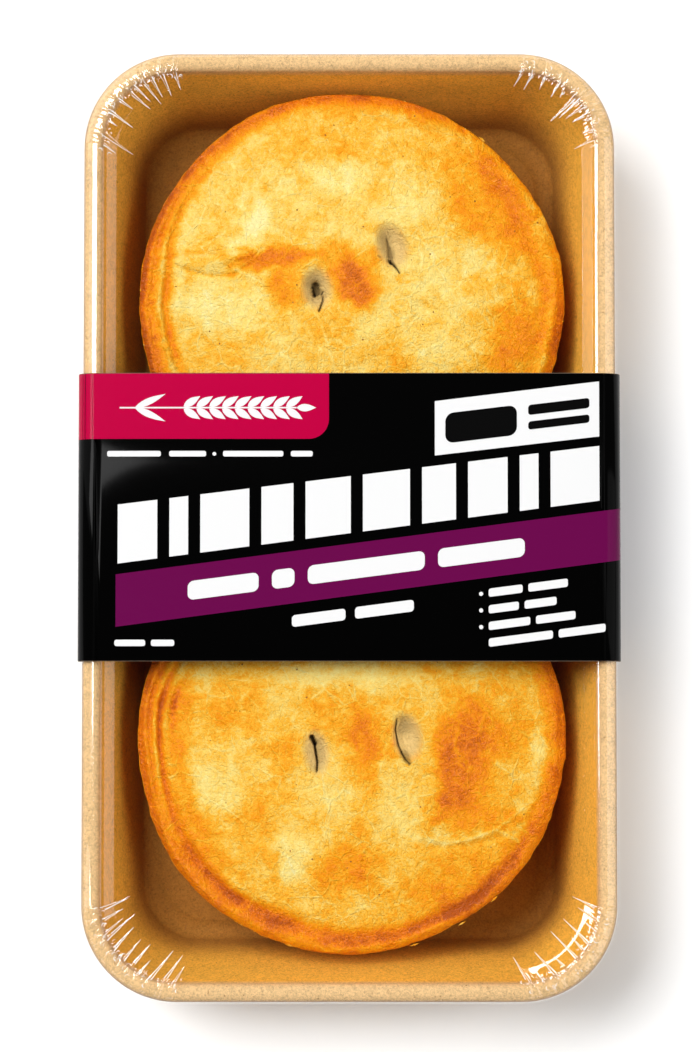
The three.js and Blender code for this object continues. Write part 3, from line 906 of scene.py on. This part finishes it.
def grid_edge(cells):
    """The indices round a grid's edge, anticlockwise."""
    index = np.arange((cells + 1) ** 2).reshape(cells + 1, cells + 1)
    return np.concatenate([index[:-1, 0], index[-1, :-1], index[:0:-1, -1], index[0, :0:-1]])


def gathered(vents, x, y):
    """Draws points in towards each vent's slit, so that the slit has a finer mesh."""
    for vent in vents:
        across, along = vent.seen(x, y)
        across = across - vent.aside
        pull = PULL * bump(np.hypot(across / PULL_WIDTH, along / PULL_LENGTH), 1) * across
        x = x - pull * math.cos(vent.lean)
        y = y - pull * math.sin(vent.lean)
    return x, y


def uneven_edge(pie, x, y):
    """Strays the pie's outline a little from a circle."""
    angle = np.arctan2(y, x)
    (broad, broad_waves), (small, small_waves) = EDGE_WAVES
    uneven = broad * np.sin(broad_waves * angle + pie["edge_phase"])
    uneven = uneven + small * np.sin(small_waves * angle)
    round_x, round_y = 20 * np.cos(angle), 20 * np.sin(angle)
    uneven = uneven + EDGE_GRIT * smooth_noise(round_x, round_y, EDGE_GRIT_SIZE, pie["seed"])
    radius = np.maximum(1e-6, np.hypot(x, y))
    scale = 1 + uneven * (radius / PIE_RADIUS) ** 3 / radius
    return x * scale, y * scale


def case_profile():
    """The pie's side, from the lid's edge down to the base, as (radius, z)."""
    case_top = PIE_RADIUS - LID_OVERHANG
    case_height = PIE_EDGE_HEIGHT - LID_DROP
    slope = (case_top - PIE_BASE_RADIUS) / case_height
    edge = section_arc(0, PIE_EDGE_HEIGHT - LID_EDGE_FALL - 0.7, 0.3, 0.4, 60, 0, 2)
    profile = [(PIE_RADIUS - 0.3 - inset, z) for inset, z in edge]
    profile += [(PIE_RADIUS - 0.28, case_height + 0.7), (PIE_RADIUS - 0.8, case_height + 0.1)]
    profile += [(case_top - 0.3, case_height - 0.3)]
    for share in CASE_SHARES:
        profile.append((PIE_BASE_RADIUS + share * case_height * slope, share * case_height))
    return profile + [
        (PIE_BASE_RADIUS + BASE_ROUND * slope, BASE_ROUND),
        (PIE_BASE_RADIUS - 0.3 * BASE_ROUND, 0.25 * BASE_ROUND),
        (PIE_BASE_RADIUS - BASE_ROUND, 0),
    ]


def case_ring(pie, turn, radius, z):
    """Points round the case at angles turn, and how baked they are."""
    around, level = turn * PIE_RADIUS, np.full(len(turn), float(z))
    rough = CASE_ROUGHNESS * layered_noise(around, level, 3, pie["seed"] + 40) * ramp(z, 1, 6)
    tone = CASE_TONE + CASE_STRAY * layered_noise(around, level, 9, pie["seed"] + 44)
    x, y = (radius + rough) * np.cos(turn), (radius + rough) * np.sin(turn)
    return np.column_stack([x, y, level]), tone


def pie_faces(rings):
    """The lid's grid, the case's rings below its edge, and the base."""
    side = LID_CELLS + 1
    faces = [
        (i * side + j, (i + 1) * side + j, (i + 1) * side + j + 1, i * side + j + 1)
        for i in range(LID_CELLS)
        for j in range(LID_CELLS)
    ]
    upper, start = grid_edge(LID_CELLS).tolist(), side * side
    count = len(upper)
    for _ in range(rings):
        lower = list(range(start, start + count))
        faces += zip(upper, lower, lower[1:] + lower[:1], upper[1:] + upper[:1])
        upper, start = lower, start + count
    return faces + fan(start - count, count, start, True)


def build_pie(pie, material):
    low, high = box_mm(pie["node"])
    middle = (low + high) / 2
    x, y = (side.ravel() * PIE_RADIUS * LID_SPAN for side in disc_points(LID_CELLS))
    x, y = gathered(pie["vents"], x, y)
    edge = grid_edge(LID_CELLS)
    turn = np.arctan2(y[edge], x[edge])
    sides, side_tones = zip(*(case_ring(pie, turn, radius, z) for radius, z in case_profile()))
    lid = np.column_stack([x, y, lid_relief(pie, x, y)])
    points = np.concatenate([lid, *sides, [(0, 0, 0)]])
    points[:, 0], points[:, 1] = uneven_edge(pie, points[:, 0], points[:, 1])
    points[:, 2] = np.maximum(points[:, 2], 0)
    own_middle = (points.min(axis=0) + points.max(axis=0)) / 2
    points += [*(middle - own_middle)[:2], low[2]]
    name, faces = pie["node"] + "_crust", pie_faces(len(sides))
    piece = make_piece(name, points, faces, [material], [pie["node"]])
    unbaked = sum(vent.pit(x, y, 0.5, 1.12) for vent in pie["vents"])
    # The vents' painted shade, kept as cut
    cut = sum(vent.painted_shade(x, y) for vent in pie["vents"])
    rest = np.zeros(len(points) - len(x))
    keep_values(piece, "baked", [*lid_tone(pie, x, y), *np.concatenate(side_tones), 0.6])
    keep_values(piece, "unbaked", [*np.clip(unbaked, 0, 1), *rest])
    keep_values(piece, "cut", [*np.clip(cut, 0, 1), *rest])


def crumb_list(pie, draw):
    """Each flake and crumb: degrees round the lid, share of its radius, length, width and tone."""
    crumbs = [(*flake, 0.5) for flake in pie["flakes"]]
    for _ in range(CRUMBS):
        angle, size = draw.uniform(0, 360), draw.uniform(*CRUMB_SIZES)
        share, width = draw.uniform(0.975, 0.998), size * draw.uniform(0.5, 1)
        crumbs.append((angle, share, size, width, draw.uniform(0.3, 1)))
    return crumbs


def build_crumbs(pie, material):
    """Crumbs and thin flakes round the edge of the lid."""
    low, high = box_mm(pie["node"])
    lid_middle = np.array([*((low + high) / 2)[:2], low[2] + PIE_EDGE_HEIGHT - 0.7])
    draw = np.random.default_rng(pie["seed"] + 60)
    points, faces, tones = [], [], []
    for angle, share, length, width, tone in crumb_list(pie, draw):
        turn = math.radians(angle)
        outward = np.array([math.cos(turn), math.sin(turn), 0])
        sideways = np.array([-outward[1], outward[0], 0])
        middle = outward * share * PIE_RADIUS + lid_middle
        start = len(points)
        for way in (sideways * length, sideways * -length, outward * width, outward * -width):
            points.append(middle + way * draw.uniform(0.7, 1))
        points += [middle + [0, 0, width * 0.8], middle - [0, 0, width]]
        for first, second in ((0, 2), (2, 1), (1, 3), (3, 0)):
            faces.append((start + first, start + second, start + 4))
            faces.append((start + second, start + first, start + 5))
        tones += [tone] * 6
    name = pie["node"] + "_crumbs"
    piece = make_piece(name, points, faces, [material], smooth=False)
    keep_values(piece, "baked", tones)


# Film

FILM_GAP = 0.45  # from the tray's rim out to the film
FILM_CREST = (4.0, RIM_TOP + 0.75)  # inset and level of the film's highest line
# How steeply the film falls, in degrees, from one inset to the next on either side of its crest
FILM_OUTER = [(3.6, 2.5), (3.2, 7), (2.8, 11), (2.4, 16), (1.5, 26), (1.0, 35), (0.5, 41), (0, 56)]
FILM_INNER = [(4.6, 4), (4.8, 10), (5.1, 16), (5.4, 22), (6.1, 3), (8.7, 27), (11, 1)]
KINK = 0.03
# The film sags less in each corner: it lies so much higher, coming and going over these insets
SAG_LESS = np.array([0.75, 0.75, 0.75, 0.98])
SAG_NEAR, SAG_FAR = (5.8, 8.6), (8.6, 22)
FILM_STEPS = (230, 10)  # steps along each corner and along each side
SLOW_WAVE = 0.04
CRINKLE, CRINKLE_SIZE, CRINKLE_INSET, CRINKLE_SPREAD = 0.12, 0.55, 5.0, 1.6
PLEATS = 11  # at each corner
PLEAT_HALF_WIDTHS, PLEAT_TIPS, PLEAT_HEIGHTS = (0.5, 1.1), (7.5, 13.5), (0.22, 0.5)
PLEAT_START = 1.0
PLEAT_LEAN = 0.06
PLEAT_SEED = 5
GLINT_STARTS = (4.3, 6.5)
GLINT_WIDTHS = (0.05, 0.16)  # half the width of a pleat's painted glint
GLINT_WANDER = 0.06
GLINT_LIFT = 0.04
GLINT_STEPS = 8
CURLS = 34  # at each corner
CURL_INSETS = [(2.2, 6.6), (4.2, 7.0), (2.2, 6.6), (2.2, 6.6)]
CURL_LENGTHS, CURL_WIDTHS, CURL_BEND = (0.5, 2.2), (0.04, 0.12), 1.6
CURL_LIFT = 0.12


def film_section():
    """From the tucked edge under the rim, up and over it, down its inner side and across."""
    outside = [FILM_CREST]
    for inset, slope in FILM_OUTER:
        outside += fall_to(outside[-1], inset, slope)
    section = [(0.7, LIP_BOTTOM - 0.1), (0.1, LIP_BOTTOM - 0.2), (-FILM_GAP, LIP_BOTTOM + 0.1)]
    section += [(-FILM_GAP, ARCH_BASE - 0.6), *outside[::-1]]
    for inset, slope in FILM_INNER:
        section += fall_to(section[-1], inset, slope)
    flat = section[-1][1]
    return section + [(inset, flat) for inset in (13, 15, 18, 24, 34, 48, 62)]


def fall_to(start, inset, slope):
    """Section points down a straight slope, with one close behind the start to crease the film."""
    span = inset - start[0]
    fall = abs(span) * math.tan(math.radians(slope))
    near = KINK / abs(span)
    count = max(1, round(abs(span) / 0.45))
    shares = [near, *np.linspace(0, 1, count + 1)[1:-1], 1 - near, 1]
    return [(start[0] + span * share, start[1] - fall * share) for share in shares]


class Pleat:
    """A pleat of the film that narrows from the rim inwards, at a share of a corner's arc."""

    def __init__(self, corner, share, draw):
        self.corner, self.share = corner, share
        self.half_width = draw.uniform(*PLEAT_HALF_WIDTHS)
        self.tip = draw.uniform(*PLEAT_TIPS)
        self.edge = draw.choice([0.3, 0.45, 1.0])
        self.height = draw.uniform(*PLEAT_HEIGHTS)

    def left(self, inset):
        """How much of the pleat is left at an inset, from 1 at its start to 0 at its tip."""
        return max(self.tip - inset, 0) / (self.tip - PLEAT_START)

    def middle(self, inset):
        """The share of the corner's arc at which the pleat passes an inset."""
        lean = PLEAT_LEAN * math.sin(7 * self.share + self.corner)
        return self.share + lean * (1 - self.left(inset))

    def rise(self, corner, share, inset):
        """How far the pleat lifts the film at an inset, at shares of the corners' arcs."""
        left = self.left(inset)
        distance = np.abs(share - self.middle(inset)) * CORNER_ARC / (self.half_width * left)
        rise = np.clip((1 - distance) / self.edge, 0, 1) * self.height * left**0.5
        return np.where(corner == self.corner, rise, 0)


def film_pleats():
    draw = np.random.default_rng(PLEAT_SEED)
    return [
        Pleat(corner, (i + draw.uniform(0.15, 0.85)) / PLEATS, draw)
        for corner in range(4)
        for i in range(PLEATS)
    ]


def film_lift(corner, share, inset, pleats):
    """How far the film lies above its section at an inset, at shares of the corners' arcs."""
    lift = np.zeros(len(share))
    for pleat in pleats:
        if PLEAT_START < inset < pleat.tip:
            lift = np.maximum(lift, pleat.rise(corner, share, inset))
    around, level = share * CORNER_ARC + 50 * corner, np.full(len(share), inset)
    crinkle = CRINKLE * smooth_noise(around, level, CRINKLE_SIZE, 3)
    crinkle = crinkle * bump(inset - CRINKLE_INSET, CRINKLE_SPREAD)
    lift += crinkle * ramp(share, -0.02, 0.06) * ramp(1.02 - share, 0, 0.08)
    held_up = ramp(share, 0, 0.35) * ramp(1 - share, 0, 0.35)
    return lift + SAG_LESS[corner] * ramp(inset, *SAG_NEAR) * (1 - ramp(inset, *SAG_FAR)) * held_up


def build_film():
    section, pleats = film_section(), film_pleats()
    rings = swept_rings(section, *FILM_STEPS)
    count = rings.shape[1]
    corner, step = np.divmod(np.arange(count), sum(FILM_STEPS))
    for ring, (inset, z) in zip(rings, section):
        ring[:, 2] += film_lift(corner, step / FILM_STEPS[0], inset, pleats)
    flat = np.array([inset > 7 for inset, z in section])
    slow = layered_noise(rings[flat, :, 0], rings[flat, :, 1], 30, 17)
    rings[flat, :, 2] += SLOW_WAVE * slow
    points = [*rings.reshape(-1, 3), (0, 0, section[-1][1])]
    last = len(points) - 1
    faces = band_faces(len(section), count) + fan(last - count, count, last, False)
    film = make_piece("shrink_film", points, faces, [film_material()], ["film"])
    film.visible_shadow = False


def pleat_glint(pleat, side, draw):
    """A ribbon of painted glint along one side of a pleat, as rows of middle, half width across,
    inset and lift.
    """
    start, width = draw.uniform(*GLINT_STARTS), draw.uniform(*GLINT_WIDTHS)
    ribbon = []
    for step in np.linspace(0, 1, GLINT_STEPS + 1):
        inset = start + (pleat.tip - start) * step
        left = pleat.left(inset)
        aside = side * pleat.half_width * left + draw.uniform(-GLINT_WANDER, GLINT_WANDER)
        share = pleat.middle(inset) + aside / CORNER_ARC
        middle = corner_place(pleat.corner, share, inset)
        along = corner_place(pleat.corner, share + 0.01, inset) - middle
        across = along / np.linalg.norm(along) * width * (1 - 0.7 * step)
        ribbon.append((middle, across, inset, GLINT_LIFT + 0.6 * pleat.height * left**0.5))
    return ribbon


def rim_glint(corner, draw):
    """A short curved ribbon of painted glint over the rim, with rows like those of a pleat's glint.
    """
    share, inset = draw.uniform(-0.02, 1.02), draw.uniform(*CURL_INSETS[corner])
    turn, length, width = draw.normal(0, 0.6), draw.uniform(*CURL_LENGTHS), draw.uniform(*CURL_WIDTHS)
    middle = corner_place(corner, share, inset)
    outward = middle - corner_place(corner, share, inset + 0.1)
    outward = outward / np.linalg.norm(outward)
    sideways = np.array([-outward[1], outward[0]])
    ribbon = []
    for step in np.linspace(-0.5, 0.5, GLINT_STEPS + 1):
        bend = turn + CURL_BEND * step
        way = outward * math.cos(bend) + sideways * math.sin(bend)
        across = np.array([-way[1], way[0]]) * width * (1 - (2 * step) ** 2)
        over = inset - step * length * math.cos(bend)
        ribbon.append((middle + way * step * length, across, over, CURL_LIFT))
    return ribbon


def build_film_glints():
    """Painted highlights: white along both edges of the film's pleats, and in curls over the rim, for
    glints on the crumpled film.
    """
    section = np.array([place for place in film_section() if place[0] >= FILM_CREST[0]])
    draw = np.random.default_rng(PLEAT_SEED + 1)
    ribbons = [pleat_glint(pleat, side, draw) for pleat in film_pleats() for side in (-1, 1)]
    draw = np.random.default_rng(PLEAT_SEED + 2)
    ribbons += [rim_glint(corner, draw) for corner in range(4) for _ in range(CURLS)]
    points, faces = [], []
    for ribbon in ribbons:
        first = len(points)
        for middle, across, inset, lift in ribbon:
            level = np.interp(inset, section[:, 0], section[:, 1]) + lift
            points += [(*(middle - across), level), (*(middle + across), level)]
        for a in range(first, len(points) - 2, 2):
            faces.append((a, a + 1, a + 3, a + 2))
    make_piece("film_glints", points, faces, [glint_material()])


# Sleeve


def sleeve_half(inside):
    """One half of the sleeve's section, from the middle of its top to the middle of its base.
    inside is how far it lies inside the outer face."""
    side = SLEEVE_HIGH[0] - inside
    top = SLEEVE_HIGH[2] - CROWN_RISE - inside
    base = inside
    top_radius, side_radius = SLEEVE_TOP_RADIUS - inside, SLEEVE_SIDE_RADIUS - inside
    base_radius = SLEEVE_BASE_RADIUS - inside
    reach = side - top_radius
    x = np.linspace(0, 1, 41) * reach
    points = [np.column_stack([x, top + CROWN_RISE * (1 - (x / reach) ** CROWN_POWER)])]
    corners = [
        ((reach - 1, top), (side, top), (side, LIP_BOTTOM), top_radius),
        ((side, top), (side, LIP_BOTTOM - 0.3), (SLEEVE_BASE_HALF - inside, base), side_radius),
        ((side, LIP_BOTTOM), (SLEEVE_BASE_HALF - inside, base), (0, base), base_radius),
    ]
    for before, corner, after, radius in corners:
        points.append(rounded_corner(before, corner, after, radius, 10))
    points.append(np.array([(40.0, base), (20.0, base), (0.0, base)]))
    return np.concatenate(points)


def rounded_corner(before, corner, after, radius, steps):
    corner = np.array(corner, float)
    first = np.array(before, float) - corner
    second = np.array(after, float) - corner
    first, second = first / np.linalg.norm(first), second / np.linalg.norm(second)
    half_angle = math.acos(first @ second) / 2
    middle = (first + second) / np.linalg.norm(first + second) * radius / math.sin(half_angle)
    start = first * radius / math.tan(half_angle) - middle
    turn = math.pi - 2 * half_angle
    way = math.copysign(1, first[0] * second[1] - first[1] * second[0])
    arc = []
    for angle in np.linspace(0, -way * turn, steps + 1):
        spin = np.array([[math.cos(angle), -math.sin(angle)], [math.sin(angle), math.cos(angle)]])
        arc.append(corner + middle + spin @ start)
    return np.array(arc)


def sleeve_point(distance, inside):
    """x and z of a place on the sleeve, distance to the right of its top's middle along the face."""
    half = sleeve_half(inside)
    lengths = np.concatenate([[0], np.cumsum(np.hypot(*np.diff(half, axis=0).T))])
    distance = np.asarray(distance, float)
    x = np.sign(distance) * np.interp(np.abs(distance), lengths, half[:, 0])
    return x, np.interp(np.abs(distance), lengths, half[:, 1])


def closed(half):
    """A half section and its mirror image."""
    return np.concatenate([half, (half[1:-1] * [-1, 1])[::-1]])


def build_sleeve(card, core):
    outer, inner = closed(sleeve_half(CARD_INSET)), closed(sleeve_half(CARD))
    count = len(outer)
    # How far outwards each ring of an end lies in the board, and how far back from the end
    end = [(0, CARD_SOFTNESS), (0.3, 0), (0.7, 0), (1, CARD_SOFTNESS)]
    rings = []
    for way, rows in ((1, end), (-1, end[::-1])):
        for outwards, back in rows:
            face = inner * (1 - outwards) + outer * outwards
            y = SLEEVE_Y + way * (SLEEVE_LENGTH / 2 - back)
            rings.append(np.column_stack([face[:, 0], np.full(count, y), face[:, 1]]))
    faces = band_faces(len(rings), count)
    ring = list(range(count))
    faces += band([i + (len(rings) - 1) * count for i in ring], ring)
    points, materials = np.concatenate(rings), [card, core]
    piece = make_piece("card_sleeve", points, faces, materials, ["sleeve"])
    for polygon in piece.data.polygons:
        on_face = polygon.index // count == len(end) - 1
        polygon.material_index = 0 if on_face else 1


class Ink:
    """Flat shapes of one ink on the sleeve's face. Places are (distance round the sleeve from the
    middle of its top, distance along the pack from the sleeve's middle)."""

    def __init__(self, name, material, layer=0):
        self.name, self.material = name, material
        self.inside = CARD_INSET - INK * (1 + layer)
        self.points, self.faces = [], []

    def strip(self, places, low, high):
        """A shape between two edges that both run round the sleeve."""
        places = np.asarray(places, float)
        start = len(self.points)
        for inside in (self.inside, self.inside + 0.9 * INK):
            x, z = sleeve_point(places, inside)
            for edge in (low, high):
                self.points += list(zip(x, np.broadcast_to(edge, x.shape) + SLEEVE_Y, z))
        count = len(places)
        top_low, top_high, under_low, under_high = (start + k * count for k in range(4))
        sides = [(top_low, top_high), (under_high, under_low)]
        sides += [(under_low, top_low), (top_high, under_high)]
        for one, other in sides:
            for i in range(count - 1):
                self.faces.append((one + i, one + i + 1, other + i + 1, other + i))
        for i, flip in ((0, False), (count - 1, True)):
            end = [under_low + i, top_low + i, top_high + i, under_high + i]
            self.faces.append(tuple(end[::-1]) if flip else tuple(end))

    def block(self, left, right, low_line, high_line, rounding=0.0):
        """A strip between two slanted lines, each (height at the sleeve's middle, slope)."""
        places = np.linspace(left + rounding, right - rounding, max(2, int((right - left) / 1.5)))
        bend = rounding * (1 - np.cos(np.linspace(0, math.pi / 2, 6)))[:-1]
        if rounding:
            places = np.concatenate([left + bend, places, (right - bend)[::-1]])
        depth = np.clip(np.minimum(places - left, right - places), 0, rounding)
        pinch = 0.98 * (rounding - np.sqrt(np.maximum(0, rounding**2 - (rounding - depth) ** 2)))
        low = low_line[0] + low_line[1] * places + pinch
        high = high_line[0] + high_line[1] * places - pinch
        self.strip(places, low, high)

    def bars(self, rows):
        """Each row: low and high edge at the sleeve's middle, slope, rounding, and the bars' ends."""
        for low, high, slope, rounding, ends in rows:
            for left, right in ends:
                self.block(left, right, (low, slope), (high, slope), rounding)

    def dot(self, place, y, radius):
        angle = np.linspace(math.pi, 0, 13)
        rise = radius * np.sin(angle)
        self.strip(place + radius * np.cos(angle), y - rise, y + rise)

    def grain(self, place, y, length, width, turn):
        """A pointed leaf shape that starts at a place and grows along turn, in degrees."""
        share = np.linspace(0, 1, 9)
        across = 0.5 * width * np.sin(math.pi * share**0.8)
        share = np.concatenate([share, share[-2:0:-1]])
        across = np.concatenate([across, -across[-2:0:-1]])
        around, along = turned(share * length, across, -math.radians(turn))
        start, count = len(self.points), len(share)
        for inside in (self.inside, self.inside + 0.9 * INK):
            x, z = sleeve_point(place + around, inside)
            self.points += list(zip(x, y + along + SLEEVE_Y, z))
        top = list(range(start, start + count))
        under = [i + count for i in top]
        self.faces += [tuple(top[::-1]), tuple(under), *band(top, under)]

    def make(self):
        ink = [self.material]
        make_piece(self.name, self.points, self.faces, ink, smooth=False)


SLANT = 0.13  # the print rises to the right
TAB_RIGHT, TAB_LOW, TAB_CORNER = -5.4, 20.7, 5.3
SIDE_END = 100.0  # how far round the sleeve the colours go on, past its sides


def print_magenta(ink):
    """A tab from the far edge's left part, round the left side."""
    places = np.linspace(-SIDE_END, TAB_RIGHT - TAB_CORNER, 90)
    bend = TAB_CORNER * np.sin(np.linspace(0, math.pi / 2, 10))
    places = np.concatenate([places, TAB_RIGHT - TAB_CORNER + bend[1:]])
    past = np.maximum(0, places - (TAB_RIGHT - TAB_CORNER))
    low = TAB_LOW + TAB_CORNER - np.sqrt(np.maximum(0, TAB_CORNER**2 - past**2))
    ink.strip(places, low, SLEEVE_LENGTH / 2 - 0.15)


def print_purple(ink):
    places = np.concatenate([np.linspace(-61.9, 60, 60), np.linspace(60.5, SIDE_END, 60)])
    low = -21.0 + 0.1322 * places
    high = -7.2 + 0.1307 * places
    ink.strip(places, low, high)


HEADLINE_LEFT, HEADLINE_RIGHT = -61.4, 66.4
HEADLINE_LOW, HEADLINE_HIGH = (-4.4, 0.1307), (10.75, 0.1223)
HEADLINE_WIDTHS = [10.5, 5.0, 13.0, 8.5, 12.0, 12.5, 9.0, 10.5, 5.0, 13.0]
BADGE = (22.7, 66.4, (13.6, 0.117), (27.95, 0.122))
WHITE_BARS = [
    (-16.6, -11.6, SLANT, 1.6, [(-42.8, -24), (-20.5, -14.5), (-11, 20), (23.5, 46.5)]),
    (16.0, 17.5, 0, 0.5, [(-64.3, -50), (-47.8, -38), (-33.5, -17.5), (-15.5, -9.7)]),
    (-27.3, -24.2, SLANT, 0.9, [(-15.2, -1), (1.5, 17.1)]),
    (-34.3, -32.6, 0, 0.6, [(-62.2, -54), (-52.5, -46.3)]),
]
BLACK_BARS = [
    (16.4, 24.4, 0.12, 2.2, [(25.5, 44.5)]),
    (21.3, 24.0, 0.12, 0.8, [(47.5, 63.8)]),
    (17.4, 19.6, 0.12, 0.8, [(47.5, 63.8)]),
]
# A short list at the lower right: each row's width, and how much of it lies left of the gap
LIST_LEFT, LIST_GAP, LIST_LOW, LIST_STEP, LIST_HEIGHT = 36.9, 1.5, -26.1, 4.4, 2.2
LIST_ROWS = [(21, 9), (18, 8), (23, 11), (31, 17)]
STEM_LEFT, STEM_RIGHT, STEM_Y = -61, -14, 29.0


def print_white(ink):
    ink.block(*BADGE)
    spare = HEADLINE_RIGHT - HEADLINE_LEFT - sum(HEADLINE_WIDTHS)
    left = HEADLINE_LEFT
    for width in HEADLINE_WIDTHS:
        ink.block(left, left + width, HEADLINE_LOW, HEADLINE_HIGH)
        left += width + spare / (len(HEADLINE_WIDTHS) - 1)
    ink.bars(WHITE_BARS)
    ink.dot(-35.8, 16.7, 0.5)
    for row, (width, split) in enumerate(LIST_ROWS):
        low = LIST_LOW - LIST_STEP * row
        ends = [(0, split), (split + LIST_GAP, width)]
        ends = [(LIST_LEFT + left, LIST_LEFT + right) for left, right in ends]
        ink.bars([(low, low + LIST_HEIGHT, SLANT, 0.6, ends)])
        if row < 3:
            dot = LIST_LEFT - 2
            ink.dot(dot, low + LIST_HEIGHT / 2 + SLANT * dot, 0.55)
    print_wheat(ink)


def print_wheat(ink):
    """A plain ear of wheat that lies along the magenta tab."""
    ink.block(STEM_LEFT, STEM_RIGHT, (STEM_Y - 0.2, 0), (STEM_Y + 0.2, 0))
    for place in np.arange(-44, STEM_RIGHT, 3.4):
        for side in (1, -1):
            ink.grain(place, STEM_Y + 0.3 * side, 5.2, 2.0, 32 * side)
    ink.grain(STEM_RIGHT, STEM_Y, 5.2, 2.0, 0)
    for side in (1, -1):
        ink.grain(-57, STEM_Y, 9, 1.8, 24 * side)


def print_black(ink):
    """Bars on the white badge."""
    ink.bars(BLACK_BARS)


PRINTS = [
    ("magenta", print_magenta, (0.42, 0.001, 0.042), 0.1, 0),
    ("purple", print_purple, (0.115, 0.003, 0.057), 0.1, 0),
    ("white", print_white, (0.72, 0.72, 0.72), 0.42, 1),
    ("black", print_black, (0.003, 0.003, 0.003), 0.1, 2),
]


def build_print():
    for name, draw, colour, roughness, layer in PRINTS:
        ink = Ink("ink_" + name, card_material(name + "_ink", colour, roughness), layer)
        draw(ink)
        ink.make()


# Camera, light and floor

CAMERA_TILT = math.radians(3.2)
CAMERA_DISTANCE = 900
VIEW_HEIGHT = 279.7  # millimetres seen from top to bottom at the rim's level
AIM = (0.19, -0.52)
SENSOR = 36.0
CLIP_START = 0.01

LIGHT_DISTANCE = 3  # metres, as the sizes below
# Each light: degrees from straight up, degrees round, size, radiance, whether gloss shows it
LIGHTS = [
    ("top_light", 11, 138, (0.65, 0.65), 4, False),
    ("softbox", 30, 146, (1.72, 1.3), 9.5, True),
    ("left_card", 60, 142, (3.0, 3.6), 0.85, True),
    ("right_card", 58, -12, (3.0, 3.2), 1.0, True),
    ("mid_light", 35, 0, (1.2, 1.2), 3.2, False),
]
FLOOR_HALF = 3.0
FLOOR_COLOUR = (0.9, 0.9, 0.9)
FLOOR_GLOW = 0.09


def add_camera():
    data = bpy.data.cameras.new("camera")
    data.sensor_width = SENSOR
    data.lens = SENSOR * CAMERA_DISTANCE / VIEW_HEIGHT
    data.clip_start = CLIP_START
    camera = add_object("camera", data)
    aim = Vector((AIM[0], AIM[1], RIM_TOP)) * MM
    back = Vector((0, -math.sin(CAMERA_TILT), math.cos(CAMERA_TILT)))
    camera.location = aim + back * CAMERA_DISTANCE * MM
    camera.rotation_euler = (CAMERA_TILT, 0, 0)
    bpy.context.scene.camera = camera


def add_light(name, zenith, azimuth, size, radiance, glossy):
    """An area light that faces the pack."""
    data = bpy.data.lights.new(name, "AREA")
    data.shape = "RECTANGLE"
    data.size, data.size_y = size
    data.energy = radiance * 4 * size[0] * size[1]
    lamp = add_object(name, data)
    tip, turn = math.radians(zenith), math.radians(azimuth)
    aside = math.sin(tip)
    direction = Vector((aside * math.cos(turn), aside * math.sin(turn), math.cos(tip)))
    lamp.location = direction * LIGHT_DISTANCE
    lamp.rotation_euler = direction.to_track_quat("Z", "Y").to_euler()
    lamp.visible_glossy = glossy


def add_world():
    """Faint light from all round, brighter near the horizon."""
    world = bpy.data.worlds.new("studio")
    bpy.context.scene.world = world
    nodes = Nodes(world)
    direction = nodes.add("ShaderNodeTexCoord").outputs["Generated"]
    height = nodes.add("ShaderNodeSeparateXYZ", {0: direction}).outputs["Z"]
    light = {"Color": rgba(WHITE), "Strength": nodes.between(height, 0.15, 0.85, 0.1, 0.01)}
    background = nodes.add("ShaderNodeBackground", light)
    nodes.add("ShaderNodeOutputWorld", {"Surface": background.outputs[0]})


def add_floor():
    mesh = bpy.data.meshes.new("floor")
    corners = [(x * FLOOR_HALF, y * FLOOR_HALF, 0) for x, y in CORNERS]
    mesh.from_pydata(corners, [], [(0, 1, 2, 3)])
    glow = {"Emission Color": rgba(WHITE), "Emission Strength": FLOOR_GLOW}
    mesh.materials.append(Paint("floor_white").surface(FLOOR_COLOUR, 0.9, 0.1, glow))
    floor = add_object("floor", mesh)


add_camera()
build_tray()
crust = crust_material()
for pie in (FAR_PIE, NEAR_PIE):
    build_pie(pie, crust)
    build_crumbs(pie, crust)
build_film()
build_film_glints()
black_card = card_material("black_card", (0.001, 0.001, 0.001), 0.1)
build_sleeve(black_card, card_material("card_core", (0.20, 0.15, 0.11), 0.7))
build_print()
add_floor()
add_world()
for light in LIGHTS:
    add_light(*light)
bpy.context.scene.view_settings.view_transform = "Standard"
